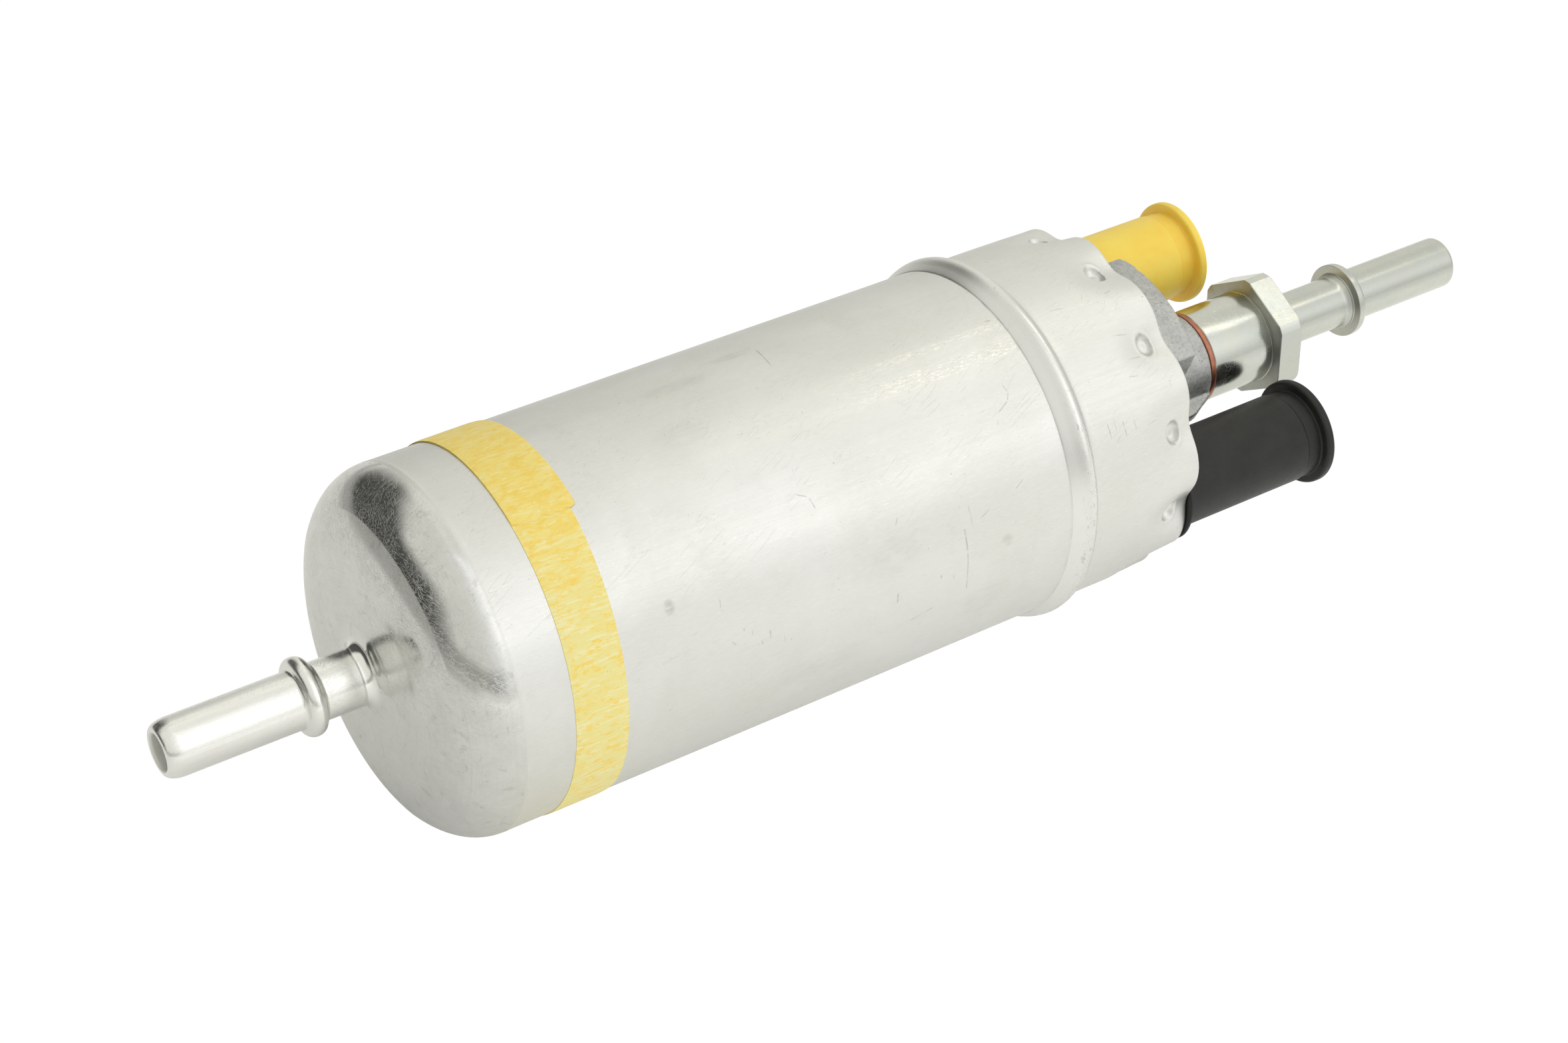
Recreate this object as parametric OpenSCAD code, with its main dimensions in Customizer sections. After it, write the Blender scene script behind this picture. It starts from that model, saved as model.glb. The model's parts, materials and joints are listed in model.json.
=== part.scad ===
// Electric fuel pump, lying on its side. The pump axis is X: inlet at -X, outlet at +X.
// The origin is on the axis, in the middle of the plain body between the paper band and the stop bead,
// which is where the holding clamp goes. +Z is up.

/* [Can] */
// Outside diameter of the drawn can
can_d = 52; // [51.6:0.1:52.6]
// Wall thickness of the can
can_wall = 1.2; // [1.1:0.05:1.3]
// Where the flat of the domed end lies on the axis
face_x = -60.4; // [-61.4:0.1:-60.4]
// Axial reach of the rounded corner between the end face and the body
corner_ax = 9.4; // [8.6:0.1:9.4]
// Radial reach of the same corner
corner_rad = 12.8; // [11:0.1:13.5]
// Height of the rolled stop bead above the body
ridge_h = 1.25; // [0.6:0.05:1.5]
// Where the stop bead starts
ridge_x = 35.9; // [35:0.1:36.2]
// Width of the stop bead
ridge_w = 4.8; // [4:0.1:5.2]
// Where the crimped rim ends
rim_x = 59; // [58.6:0.1:59.1]

/* [Crimp] */
// Number of staked dimples round the rim
dimples = 12; // [10:1:12]
// Angle of the first dimple, measured from +Y towards +Z
dimple_a0 = 11.5; // [8:0.5:14]
// Where the row of dimples lies
dimple_x = 55.5; // [55:0.1:56]
// How far the rim is pressed in at each dimple
dimple_in = 1.8; // [1.4:0.05:1.8]
// Radius of the punch that stakes the rim
punch_r = 1.7; // [1.5:0.1:1.7]

/* [Inlet] */
// Outside diameter of the inlet tube
inlet_d = 8; // [7.8:0.05:8.2]
// Bore of the inlet tube
inlet_bore = 5; // [4.6:0.1:5.2]
// Where the inlet tube ends
inlet_tip = -89.6; // [-92:0.1:-86]
// Middle of the rolled bead on the inlet tube
bead_x = -69.2; // [-71:0.1:-68]
// Outside diameter of that bead
bead_d = 10.9; // [9.8:0.1:11.4]

/* [Outlet] */
// Outside diameter of the outlet tube
outlet_d = 8; // [7.8:0.05:8.2]
// Bore of the outlet tube
outlet_bore = 5.5; // [5:0.1:5.5]
// Where the outlet tube ends
outlet_tip = 130.2; // [126:0.1:134]
// Diameter of the fitting's barrel
barrel_d = 14.1; // [13.8:0.1:14.4]
// Width of the hexagon across its flats
hex_af = 17; // [16:0.5:18]
// Where the hexagon starts
hex_x = 89.6; // [89:0.1:91]
// Thickness of the hexagon
hex_t = 4.2; // [3:0.1:4.4]
// Direction of one corner of the hexagon
hex_a = 28.5; // [0:0.5:60]
// Where the stop collar on the tube starts
collar_x = 108.5; // [106:0.1:112]
// Thickness of the stop collar
collar_t = 1.25; // [1:0.05:2]
// Diameter of the stop collar
collar_d = 11.45; // [10.6:0.05:12]
// Thickness of the sealing washer
washer_t = 1; // [0.8:0.05:1]
// Diameter of the sealing washer
washer_d = 14.7; // [14.4:0.1:15]

/* [Cover] */
// Diameter of the raised band of the cover
band_d = 40.8; // [39:0.2:41]
// Half width of that band, towards the terminals
band_half = 9.7; // [9:0.1:10]
// Top of the raised band
band_x = 66; // [64:0.2:67]
// Diameter of the outlet boss
boss_d = 14.5; // [14.2:0.1:14.8]
// Top of the outlet boss
boss_x = 77.4; // [77:0.1:77.4]

/* [Terminals] */
// Distance of each terminal from the axis
term_r = 18.28; // [18.1:0.02:18.4]
// Direction of the terminal under the yellow cap, from +Y towards +Z
term_a = 21.8; // [21:0.1:23]
// Outside diameter of the shipping caps
cap_d = 13.4; // [13:0.1:13.6]
// Diameter of the rim at the end of each cap
cap_rim_d = 15.8; // [15:0.1:16]
// Far end of the yellow cap
cap_x_yellow = 89.7; // [88:0.1:92]
// Far end of the black cap
cap_x_black = 86.8; // [86:0.1:90]

/* [Paper band] */
// Left edge of the paper band
tape_x = -43.9; // [-46:0.1:-43]
// Width of the paper band
tape_w = 8.7; // [6:0.1:9]
// Thickness of the paper band
tape_t = 0.12; // [0.1:0.01:0.14]

/* [Pump element] */
// Teeth on the inner gear; the outer gear has one more
teeth = 6; // [6:1:6]
// Offset between the two gear axes
ecc = 1.1; // [1:0.05:1.1]
// Radius on which the outer gear's lobes sit
lobe_pitch = 10.2; // [10.2:0.1:10.4]
// Radius of each outer lobe
lobe_r = 2.6; // [2.5:0.05:2.6]
// Width of the gears
gear_w = 10; // [10:0.1:10]
// Gap between gear flanks
flank_gap = 0.06; // [0.05:0.01:0.08]

/* [Motor] */
// Radius of the armature core
core_r = 16.2; // [15.8:0.1:16.4]
// Number of slots in the core
slots = 10; // [10:2:10]
// Radius of the shaft
shaft_r = 3; // [3:0.05:3]
// Radius of the commutator
comm_r = 9; // [9:0.1:9]

/* [Hidden] */
$fn = 64;
can_r = can_d / 2;
in_r = can_r - can_wall;
stack_r = in_r - 0.3;
x_intake = -50;                 // the pump stack, from the intake plate
x_ring = -44;
x_dis = x_ring + gear_w;
x_dis_end = x_dis + 7;
relief_r = 20;                  // relief valve: distance from the axis and direction
relief_a = 120;
brush_dir = term_a + 90;
eps = 0.02;

// ---------- helpers ----------
// puts a child drawn along +Z on the pump axis at x, turned to direction a (from +Y towards +Z)
module on_axis(x = 0, a = 0) translate([x, 0, 0]) rotate([0, 90, 0]) rotate([0, 0, a + 90]) children();
// the same, moved out from the axis by r in direction a
module off_axis(x = 0, r = 0, a = 0) translate([x, r * cos(a), r * sin(a)]) rotate([0, 90, 0]) rotate([0, 0, a + 90]) children();
module tube(r1, r0, h) difference() { cylinder(r = r1, h = h); translate([0, 0, -1]) cylinder(r = r0, h = h + 2); }
// points on an ellipse
function earc(cx, cy, rx, ry, a0, a1, n) = [for (i = [0:n]) let (a = a0 + (a1 - a0) * i / n) [cx + rx * cos(a), cy + ry * sin(a)]];
// a flat ring sector
module sector(r1, r0, a, h) intersection() {
  tube(r1, r0, h);
  linear_extrude(height = h) polygon(concat([[0, 0]], [for (i = [0:8]) let (t = -a / 2 + a * i / 8) [r1 * 1.4 * cos(t), r1 * 1.4 * sin(t)]]));
}
// a round wire wound as a coil along +Z
function coil_pt(r, h, n, wire, i, k, steps) = let (u = i / steps, t = 360 * n * u, q = 360 * k / 6, rr = r + wire * cos(q))
  [rr * cos(t), rr * sin(t), wire + (h - 2 * wire) * u + wire * sin(q)];
module coil(r, h, n, wire) {
  per = 14;
  steps = floor(n * per);
  pts = [for (i = [0:steps]) for (k = [0:5]) coil_pt(r, h, n, wire, i, k, steps)];
  faces = concat(
    [[for (k = [5:-1:0]) k]],
    [for (i = [0:steps - 1]) for (k = [0:5]) for (s = [0, 1]) let (a = i * 6 + k, b = i * 6 + (k + 1) % 6, c = a + 6, d = b + 6) s == 0 ? [a, b, d] : [a, d, c]],
    [[for (k = [0:5]) steps * 6 + k]]);
  polyhedron(points = pts, faces = [for (f = faces) [for (j = [len(f) - 1:-1:0]) f[j]]]);
}

// ---------- can ----------
function can_outer() = concat(
  [[inlet_bore / 2, inlet_tip + 0.35]],
  earc(inlet_d / 2 - 1.1, inlet_tip + 2.2, 1.1, 2.2, -90, 0, 5),
  [for (i = [-5:5]) let (u = i / 5) [inlet_d / 2 + (bead_d - inlet_d) / 2 * pow(1 - pow(abs(u), 3), 1 / 3), bead_x + 1.55 * u]],
  earc(inlet_d / 2 + 1.9, face_x - 1.9, 1.9, 1.9, 180, 90, 5),
  earc(can_r - corner_rad, face_x + corner_ax, corner_rad, corner_ax, -90, 0, 14),
  [[can_r, ridge_x], [can_r + 0.33, ridge_x + 0.02], [can_r + ridge_h * 0.5, ridge_x + ridge_w * 0.28],
   [can_r + ridge_h * 0.86, ridge_x + ridge_w * 0.48], [can_r + ridge_h, ridge_x + ridge_w * 0.62],
   [can_r + ridge_h * 0.9, ridge_x + ridge_w * 0.78], [can_r + ridge_h * 0.4, ridge_x + ridge_w * 0.92],
   [can_r, ridge_x + ridge_w + 0.15], [can_r, rim_x - 0.2], [can_r - 0.2, rim_x]]);
function can_inner() = concat(
  [[in_r, rim_x], [in_r, face_x + corner_ax]],
  [for (p = earc(can_r - corner_rad, face_x + corner_ax, corner_rad - can_wall, corner_ax - can_wall, 0, -90, 10)) p],
  [[inlet_bore / 2, face_x + can_wall]]);
module rim_scoops(grow) for (i = [0:dimples - 1]) on_axis(0, dimple_a0 + i * 360 / dimples) {
  // pressed-in valley, deepest at the rim
  len_v = 9.5;
  tilt = atan(dimple_in / len_v);
  translate([can_r + 7, 0, rim_x - len_v]) rotate([0, -tilt, 0]) translate([0, 0, -6]) cylinder(r = 7 + grow, h = 24, $fn = 48);
}
module rim_punches(grow) for (i = [0:dimples - 1]) on_axis(dimple_x, dimple_a0 + i * 360 / dimples)
  translate([can_r - 0.25, 0, 0]) sphere(r = punch_r + grow, $fn = 32);
module can_blank(x0, x1) intersection() {
  on_axis() rotate_extrude($fn = 128) polygon(concat(can_outer(), can_inner()));
  translate([x0, -40, -40]) cube([x1 - x0, 80, 80]);
}
module housing_can() color([0.84, 0.85, 0.84]) {
  difference() {
    on_axis() rotate_extrude($fn = 128) polygon(concat(can_outer(), [[0, rim_x], [0, inlet_tip + 0.35]]));
    rim_scoops(0);
    rim_punches(0);
    // hollow, kept clear of the pressed-in rim so that the wall stays whole
    difference() {
      on_axis() rotate_extrude($fn = 128) polygon(concat([[0, rim_x + 1], [in_r, rim_x + 1]], can_inner(), [[0, face_x + can_wall]]));
      rim_scoops(can_wall - 0.1);
      rim_punches(can_wall - 0.2);
    }
    on_axis(inlet_tip - 1) cylinder(r = inlet_bore / 2, h = 60, $fn = 64);
  }
}
module tape_band() color([0.93, 0.86, 0.5]) on_axis(tape_x) tube(can_r + eps + tape_t, can_r + eps, tape_w, $fn = 128);

// ---------- discharge cover ----------
module cover_rib(a) on_axis(0, a) rotate([90, 0, 0]) translate([0, 0, -0.8]) linear_extrude(height = 1.6)
  polygon([[5, band_x - 1], [10, band_x - 1], [10, boss_x - 5.8], [9.8, boss_x - 4.5], [9.2, boss_x - 3.3], [8.6, boss_x - 2.2],
           [8.2, boss_x - 1.3], [7.6, boss_x - 0.1], [5, boss_x - 0.1]]);
module fuel_holes(x, h) for (i = [0:2]) off_axis(x, 7.3, term_a + 90 + 120 * i) cylinder(r = 1.3, h = h, $fn = 32);
module end_cover() color([0.55, 0.56, 0.55]) difference() {
  union() {
    on_axis(44) cylinder(r = in_r - 1.6, h = 2.4 + eps, $fn = 96);
    on_axis(46.4) cylinder(r = in_r - 0.08, h = 3.1, $fn = 128);
    on_axis(49.5) cylinder(r1 = in_r - 0.08, r2 = in_r - 2.05, h = 1.9, $fn = 128);
    on_axis(51) cylinder(r = in_r - 2.05, h = 5, $fn = 128);
    // raised band across the cover, between the two terminal pockets
    intersection() {
      on_axis(55) union() {
        cylinder(r = band_d / 2, h = band_x - 55 - 0.8, $fn = 128);
        translate([0, 0, band_x - 55 - 0.8 - eps]) cylinder(r1 = band_d / 2, r2 = band_d / 2 - 0.6, h = 0.8 + eps, $fn = 128);
      }
      on_axis(54, term_a) translate([-band_half, -40, 0]) cube([2 * band_half, 80, 20]);
    }
    on_axis(band_x - 1) cylinder(r = boss_d / 2, h = boss_x - band_x + 1);
    cover_rib(term_a);
    cover_rib(term_a + 180);
  }
  // thread of the outlet fitting
  on_axis(66.4) cylinder(r = 6, h = 20);
  // seat for the hub of the bearing carrier, a gallery above it, and the outlet passage
  on_axis(43) cylinder(r = 12.5, h = 9.4);
  on_axis(50) cylinder(r = 3.6, h = 20);
  // terminal holes
  for (s = [0, 180]) off_axis(40, term_r, term_a + s) cylinder(r = 3.6, h = 20);
}
// plate under the cover that closes the seal's groove; its hub carries the bearing and the fuel holes
module bearing_carrier() color([0.5, 0.5, 0.48]) difference() {
  union() {
    on_axis(41) cylinder(r = in_r - 0.08, h = 3 - eps, $fn = 96);
    on_axis(43.9) cylinder(r = 12.4, h = 6.1);
  }
  on_axis(40) cylinder(r = 5, h = 12);
  fuel_holes(40, 12);
  for (s = [0, 180]) off_axis(40, term_r, term_a + s) cylinder(r = 5, h = 5);
}
module cover_oring() color([0.1, 0.1, 0.1]) on_axis(44.13) rotate_extrude($fn = 96)
  polygon([for (p = earc(in_r - 0.78, 1.05, 0.7, 1.0, 0, 330, 11)) p]);

// ---------- outlet ----------
module hex_plate() intersection() {
  cylinder(r = hex_af / sqrt(3), h = hex_t, $fn = 6);
  // corners turned down to one radius
  rotate_extrude($fn = 96) polygon([[0, 0], [hex_af / 2 + 0.8, 0], [hex_af / 2 + 0.97, 0.1], [hex_af / 2 + 0.97, hex_t - 0.25], [hex_af / 2 + 0.55, hex_t], [0, hex_t]]);
}
module outlet_fitting() color([0.78, 0.79, 0.76]) difference() {
  union() {
    on_axis(66.8) cylinder(r = 5.95, h = 15);
    on_axis(boss_x + washer_t + eps) rotate_extrude($fn = 96)
      polygon([[0, 0], [barrel_d / 2 - 0.12, 0], [barrel_d / 2, 0.12], [barrel_d / 2, hex_x - boss_x - washer_t - 0.3], [barrel_d / 2 - 0.15, hex_x - boss_x - washer_t - 0.18],
        [barrel_d / 2 - 0.15, hex_x - boss_x - washer_t], [0, hex_x - boss_x - washer_t]]);
    on_axis(hex_x, hex_a) hex_plate();
    on_axis(hex_x + hex_t - 0.5) rotate_extrude($fn = 96) polygon(concat(
      [[0, 0], [outlet_d / 2 + 0.5, 0], [outlet_d / 2 + 0.5, 0.5], [outlet_d / 2, 1.1]],
      [[outlet_d / 2, collar_x - hex_x - hex_t + 0.5 - 1.5], [outlet_d / 2 + 0.25, collar_x - hex_x - hex_t + 0.5 - 0.9], [outlet_d / 2 + 0.65, collar_x - hex_x - hex_t + 0.5 - 0.55],
       [outlet_d / 2 + 0.65, collar_x - hex_x - hex_t + 0.5 - 0.35], [outlet_d / 2 + 0.38, collar_x - hex_x - hex_t + 0.5 - 0.2], [outlet_d / 2 + 0.38, collar_x - hex_x - hex_t + 0.5]],
      [[collar_d / 2 - 0.3, collar_x - hex_x - hex_t + 0.5], [collar_d / 2, collar_x - hex_x - hex_t + 0.5 + 0.3],
       [collar_d / 2, collar_x - hex_x - hex_t + 0.5 + collar_t - 0.6], [collar_d / 2 - 0.5, collar_x - hex_x - hex_t + 0.5 + collar_t]],
      [[outlet_d / 2, collar_x - hex_x - hex_t + 0.5 + collar_t], [outlet_d / 2, outlet_tip - hex_x - hex_t + 0.5 - 0.6]],
      earc(outlet_d / 2 - 0.6, outlet_tip - hex_x - hex_t + 0.5 - 0.6, 0.6, 0.6, 15, 90, 4),
      [[0, outlet_tip - hex_x - hex_t + 0.5]]));
  }
  on_axis(66) cylinder(r = 4.6, h = 22);
  on_axis(80) cylinder(r = outlet_bore / 2, h = 80);
}
module sealing_washer() color([0.72, 0.4, 0.28]) on_axis(boss_x + eps / 2) tube(washer_d / 2, 6.1, washer_t);
module check_valve_seat() color([0.8, 0.68, 0.4]) on_axis(66.9) difference() {
  cylinder(r = 4.56, h = 2.5);
  translate([0, 0, -1]) cylinder(r = 2.2, h = 5);
  translate([0, 0, 1.5]) cylinder(r1 = 2.2, r2 = 3.22, h = 1.02);
}
module check_valve_poppet() color([0.2, 0.2, 0.22]) on_axis(68.5) rotate_extrude($fn = 48)
  polygon([[0, 0], [2.1, 0], [3.0, 0.9], [3.3, 1.0], [3.3, 2.2], [2.6, 2.8], [1.25, 3.2], [1.25, 11], [1.0, 11.4], [0, 11.4]]);
module check_valve_spring() color([0.7, 0.7, 0.72]) on_axis(72.0) coil(2.1, 15.8, 7, 0.3);

// ---------- terminals ----------
// the thread has a run-out groove just above the nut
module stud(r, x1, s, groove) color([0.75, 0.74, 0.68]) off_axis(41.2, term_r, term_a + s) {
  cylinder(r = 3.2, h = 1.35);
  cylinder(r = r, h = groove - 41.2);
  cylinder(r = r - 0.35, h = groove + 1 - 41.2);
  translate([0, 0, groove + 0.75 - 41.2]) cylinder(r = r, h = x1 - groove - 0.75 - 0.6);
  translate([0, 0, x1 - 41.2 - 0.6 - eps]) cylinder(r1 = r, r2 = r - 0.5, h = 0.6);
}
module stud_positive() stud(2.5, 74, 0, 66.95);
module stud_negative() stud(2, 73, 180, 66.15);
module insulator(r, s) color([0.16, 0.16, 0.17]) off_axis(0, term_r, term_a + s) difference() {
  union() {
    translate([0, 0, 42.6]) cylinder(r = 4.9, h = 1.35);
    translate([0, 0, 43]) cylinder(r = 3.55, h = 14);
    translate([0, 0, 56.03]) cylinder(r = 5.2, h = 5.9);
  }
  cylinder(r = r + 0.03, h = 80);
}
module insulator_positive() insulator(2.5, 0);
module insulator_negative() insulator(2, 180);
module flat_washer(r, s) color([0.76, 0.76, 0.74]) off_axis(61.96, term_r, term_a + s) tube(r + 2.4, r + 0.15, 0.9);
module terminal_washer_positive() flat_washer(2.5, 0);
module terminal_washer_negative() flat_washer(2, 180);
module hex_nut(r, af, h, s) color([0.78, 0.77, 0.72]) off_axis(62.9, term_r, term_a + s) difference() {
  intersection() {
    cylinder(r = af / sqrt(3), h = h, $fn = 6);
    rotate_extrude($fn = 48) polygon([[0, 0], [af / 2 - 0.1, 0], [af / 2 + 1, 0.7], [af / 2 + 1, h - 0.7], [af / 2 - 0.1, h], [0, h]]);
  }
  translate([0, 0, -1]) cylinder(r = r + 0.03, h = h + 2);
}
module nut_positive() hex_nut(2.5, 8, 4, 0);
module nut_negative() hex_nut(2, 7, 3.2, 180);
// push-on shipping cap: plain sleeve, slightly necked, with a wide rim at the closed end and a thin lip at the open end
module shipping_cap(x1) off_axis(rim_x + 0.15, term_r, 0) difference() {
  h = x1 - rim_x - 0.15;
  rotate_extrude($fn = 64) polygon([
    [0, 0], [cap_rim_d / 2, 0], [cap_rim_d / 2, 0.4], [cap_d / 2 + 0.2, 0.55], [cap_d / 2 + 0.2, 1.8], [cap_d / 2, 1.95], [cap_d / 2, h - 4.1], [cap_d / 2 - 0.12, h - 3.9],
    [cap_d / 2 - 0.12, h - 1.65], [cap_d / 2 + 0.05, h - 1.45], [cap_rim_d / 2 - 0.4, h - 1.38], [cap_rim_d / 2 - 0.1, h - 1.2], [cap_rim_d / 2, h - 0.9], [cap_rim_d / 2, h - 0.4],
    [cap_rim_d / 2 - 0.12, h - 0.12], [cap_rim_d / 2 - 0.4, h], [0, h]]);
  translate([0, 0, -1]) cylinder(r = cap_d / 2 - 1.2, h = h - 0.7);
}
module yellow_cap() color([0.95, 0.8, 0.25]) rotate([term_a, 0, 0]) shipping_cap(cap_x_yellow);
module black_cap() color([0.18, 0.18, 0.17]) rotate([term_a + 180, 0, 0]) shipping_cap(cap_x_black);

// ---------- brush gear ----------
module brush_holder() color([0.78, 0.74, 0.6]) difference() {
  union() {
    on_axis(30) cylinder(r = stack_r, h = 3, $fn = 96);
    for (s = [0, 180]) on_axis(32.9, brush_dir + s) translate([10.6, -4.4, 0]) cube([12, 8.8, 7.6]);
    for (s = [0, 180]) on_axis(32.9, brush_dir + s + 52) translate([17.2, 0, 0]) cylinder(r = 3.6, h = 1.2);
  }
  on_axis(29) cylinder(r = 10, h = 20);
  for (s = [0, 180]) on_axis(33.8, brush_dir + s) translate([5, -3.1, 0]) cube([16.4, 6.2, 5.3]);
  // openings for the fuel and for the chokes
  for (s = [0, 180]) on_axis(29, term_a + s) translate([17.5, 0, 0]) cylinder(r = 3.4, h = 10);
  for (s = [0, 180]) on_axis(29, brush_dir + s + 52) translate([17.2, 0, 0]) cylinder(r = 2.75, h = 10);
}
module brush() translate([comm_r + 0.06, -3, 0]) difference() {
  cube([8, 6, 5]);
  // face worn to the commutator
  translate([-comm_r - 0.06, 3, -1]) cylinder(r = comm_r + 0.08, h = 7, $fn = 96);
}
module brush_a() color([0.22, 0.22, 0.24]) on_axis(33.95, brush_dir) brush();
module brush_b() color([0.22, 0.22, 0.24]) on_axis(33.95, brush_dir + 180) brush();
module brush_spring(s) color([0.7, 0.7, 0.72]) on_axis(36.45, brush_dir + s) translate([comm_r + 8.12, 0, 0]) rotate([0, 90, 0]) coil(1.7, 4.2, 4, 0.25);
module brush_spring_a() brush_spring(0);
module brush_spring_b() brush_spring(180);
module choke(s) color([0.62, 0.35, 0.2]) off_axis(29.5, 17.2, brush_dir + 52 + s) rotate_extrude($fn = 32)
  polygon(concat([[0, 0], [1.9, 0]], [for (i = [0:6]) each [[1.95, 0.8 + i * 1.15], [2.55, 1.15 + i * 1.15], [2.55, 1.6 + i * 1.15]]], [[1.9, 9.2], [1.9, 10.4], [0, 10.4]]));
module choke_positive() choke(0);
module choke_negative() choke(180);

// ---------- armature ----------
module shaft() color([0.7, 0.71, 0.73]) on_axis(-47.8) {
  translate([0, 0, 0.5]) cylinder(r = shaft_r, h = 96);
  cylinder(r1 = shaft_r - 0.5, r2 = shaft_r, h = 0.5 + eps);
  translate([0, 0, 96.5 - eps]) cylinder(r1 = shaft_r, r2 = shaft_r - 0.5, h = 0.5);
}
module slot_2d(grow) for (i = [0:slots - 1]) rotate(360 * i / slots) {
  translate([11.3, 0]) circle(r = 2.6 - grow, $fn = 32);
  translate([11.3, -0.9 + grow / 2]) square([core_r, 1.8 - grow]);
}
module armature_core() color([0.42, 0.43, 0.45]) on_axis(-13) linear_extrude(height = 35) difference() {
  circle(r = core_r, $fn = 96);
  circle(r = shaft_r + 0.03, $fn = 64);
  slot_2d(0);
}
module armature_windings() color([0.72, 0.38, 0.2]) on_axis(0) {
  translate([0, 0, -13.1]) linear_extrude(height = 35.2) for (i = [0:slots - 1]) rotate(360 * i / slots) translate([11.3, 0]) circle(r = 2.5, $fn = 32);
  for (z = [-19, 22.06]) translate([0, 0, z]) difference() {
    rotate_extrude($fn = 64) polygon([[4.4, 0.6], [5.4, 0], [13, 0], [14.4, 1.2], [14.6, 3], [14.4, 5.94], [4.4, 5.94]]);
    // turns seen as shallow grooves
    for (i = [0:slots - 1]) rotate(360 * (i + 0.5) / slots) translate([15.4, 0, -1]) cylinder(r = 1.5, h = 8, $fn = 24);
  }
}
module commutator() color([0.75, 0.45, 0.28]) on_axis(30.6) difference() {
  cylinder(r = comm_r, h = 9.8, $fn = 96);
  translate([0, 0, -1]) cylinder(r = shaft_r + 0.03, h = 12);
  for (i = [0:slots - 1]) rotate(360 * (i + 0.5) / slots) translate([comm_r - 0.9, -0.25, -1]) cube([2, 0.5, 12]);
}
module thrust_washer() color([0.85, 0.83, 0.75]) on_axis(-21.4) tube(5.2, shaft_r + 0.05, 1.2);

// ---------- field ----------
module magnet(a) color([0.25, 0.25, 0.27]) on_axis(-16, a) sector(22.2, 17.2, 132, 42, $fn = 96);
module magnet_a() magnet(0);
module magnet_b() magnet(180);
module magnet_clip(a) color([0.66, 0.67, 0.7]) on_axis(-16, a) intersection() {
  difference() {
    translate([17.6, -6.6, 0]) cube([4.6, 13.2, 42]);
    translate([16, -5.9, -1]) cube([4.7, 11.8, 44]);
  }
  cylinder(r = 22.2, h = 42, $fn = 96);
}
module magnet_clip_a() magnet_clip(90);
module magnet_clip_b() magnet_clip(270);
module flux_ring() color([0.5, 0.51, 0.53]) on_axis(-25) tube(stack_r + 0.1, 22.25, 54, $fn = 128);

// ---------- pump element ----------
pins = teeth + 1;
function gear_pt(p) = let (
    n = pins, rr = lobe_r + flank_gap,
    s = atan2(sin((1 - n) * p), lobe_pitch / (ecc * n) - cos((1 - n) * p)))
  [lobe_pitch * cos(p) - rr * cos(p + s) - ecc * cos(n * p), -lobe_pitch * sin(p) + rr * sin(p + s) + ecc * sin(n * p)];
mesh_a = 90;                    // direction in which the gears mesh fully
module screw_holes(r, x0, h) for (i = [0:2]) off_axis(x0, 20, 60 + 120 * i) cylinder(r = r, h = h, $fn = 32);
module kidney(x, h, a, r0, r1, w) on_axis(x, a) sector(r1, r0, w, h);
module intake_plate() color([0.6, 0.6, 0.58]) difference() {
  on_axis(x_intake) cylinder(r = stack_r, h = x_ring - x_intake - eps, $fn = 96);
  on_axis(x_intake - 1) cylinder(r = 5, h = 12);
  kidney(x_intake - 1, 12, 0, 6.9, 9.3, 95);
  off_axis(x_intake - 1, relief_r, relief_a) cylinder(r = 2.6, h = 12, $fn = 48);
  screw_holes(1.65, x_intake - 1, 12);
}
module pump_ring() color([0.62, 0.62, 0.6]) difference() {
  on_axis(x_ring) cylinder(r = stack_r, h = gear_w, $fn = 96);
  on_axis(x_ring - 1, mesh_a) translate([-ecc, 0, 0]) cylinder(r = 14.05, h = gear_w + 2, $fn = 96);
  off_axis(x_ring - 1, relief_r, relief_a) cylinder(r = 2.6, h = gear_w + 2, $fn = 48);
  screw_holes(1.65, x_ring - 1, gear_w + 2);
}
module outer_gear() color([0.5, 0.5, 0.52]) on_axis(x_ring + 0.04, mesh_a) translate([-ecc, 0, 0]) difference() {
  cylinder(r = 14, h = gear_w - 0.08, $fn = 96);
  translate([0, 0, -1]) linear_extrude(height = gear_w + 2) difference() {
    circle(r = lobe_pitch - lobe_r + ecc * 2 + 0.12, $fn = 96);
    for (i = [0:pins - 1]) rotate(360 * i / pins) translate([lobe_pitch, 0]) circle(r = lobe_r, $fn = 48);
  }
}
module inner_gear() color([0.56, 0.56, 0.58]) on_axis(x_ring + 0.04, mesh_a) linear_extrude(height = gear_w - 0.08) difference() {
  polygon([for (i = [0:119]) let (q = 3 * i) gear_pt(q - 0.8 * sin(teeth * q) * 180 / PI / teeth)]);
  circle(r = shaft_r + 0.03, $fn = 48);
}
module discharge_plate() color([0.6, 0.6, 0.58]) difference() {
  on_axis(x_dis + eps) cylinder(r = stack_r, h = x_dis_end - x_dis, $fn = 96);
  on_axis(x_dis - 1) cylinder(r = 5, h = 12);
  kidney(x_dis - 1, 12, 180, 6.9, 9.3, 95);
  off_axis(x_dis - 1, relief_r, relief_a) cylinder(r = 2.6, h = 5, $fn = 48);
  off_axis(x_dis - 1, relief_r, relief_a) cylinder(r = 1.5, h = 12, $fn = 48);
  screw_holes(1.65, x_dis - 1, 5.5);
}
module pump_screw(i) color([0.4, 0.41, 0.43]) off_axis(x_intake - 3, 20, 60 + 120 * i) difference() {
  union() {
    cylinder(r = 2.75, h = 2.98, $fn = 48);
    translate([0, 0, 2.9]) cylinder(r = 1.6, h = x_dis - x_intake + 3.9, $fn = 32);
  }
  translate([0, 0, -1]) cylinder(r = 1.45, h = 2.6, $fn = 6);
}
module pump_screw_1() pump_screw(0);
module pump_screw_2() pump_screw(1);
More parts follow.
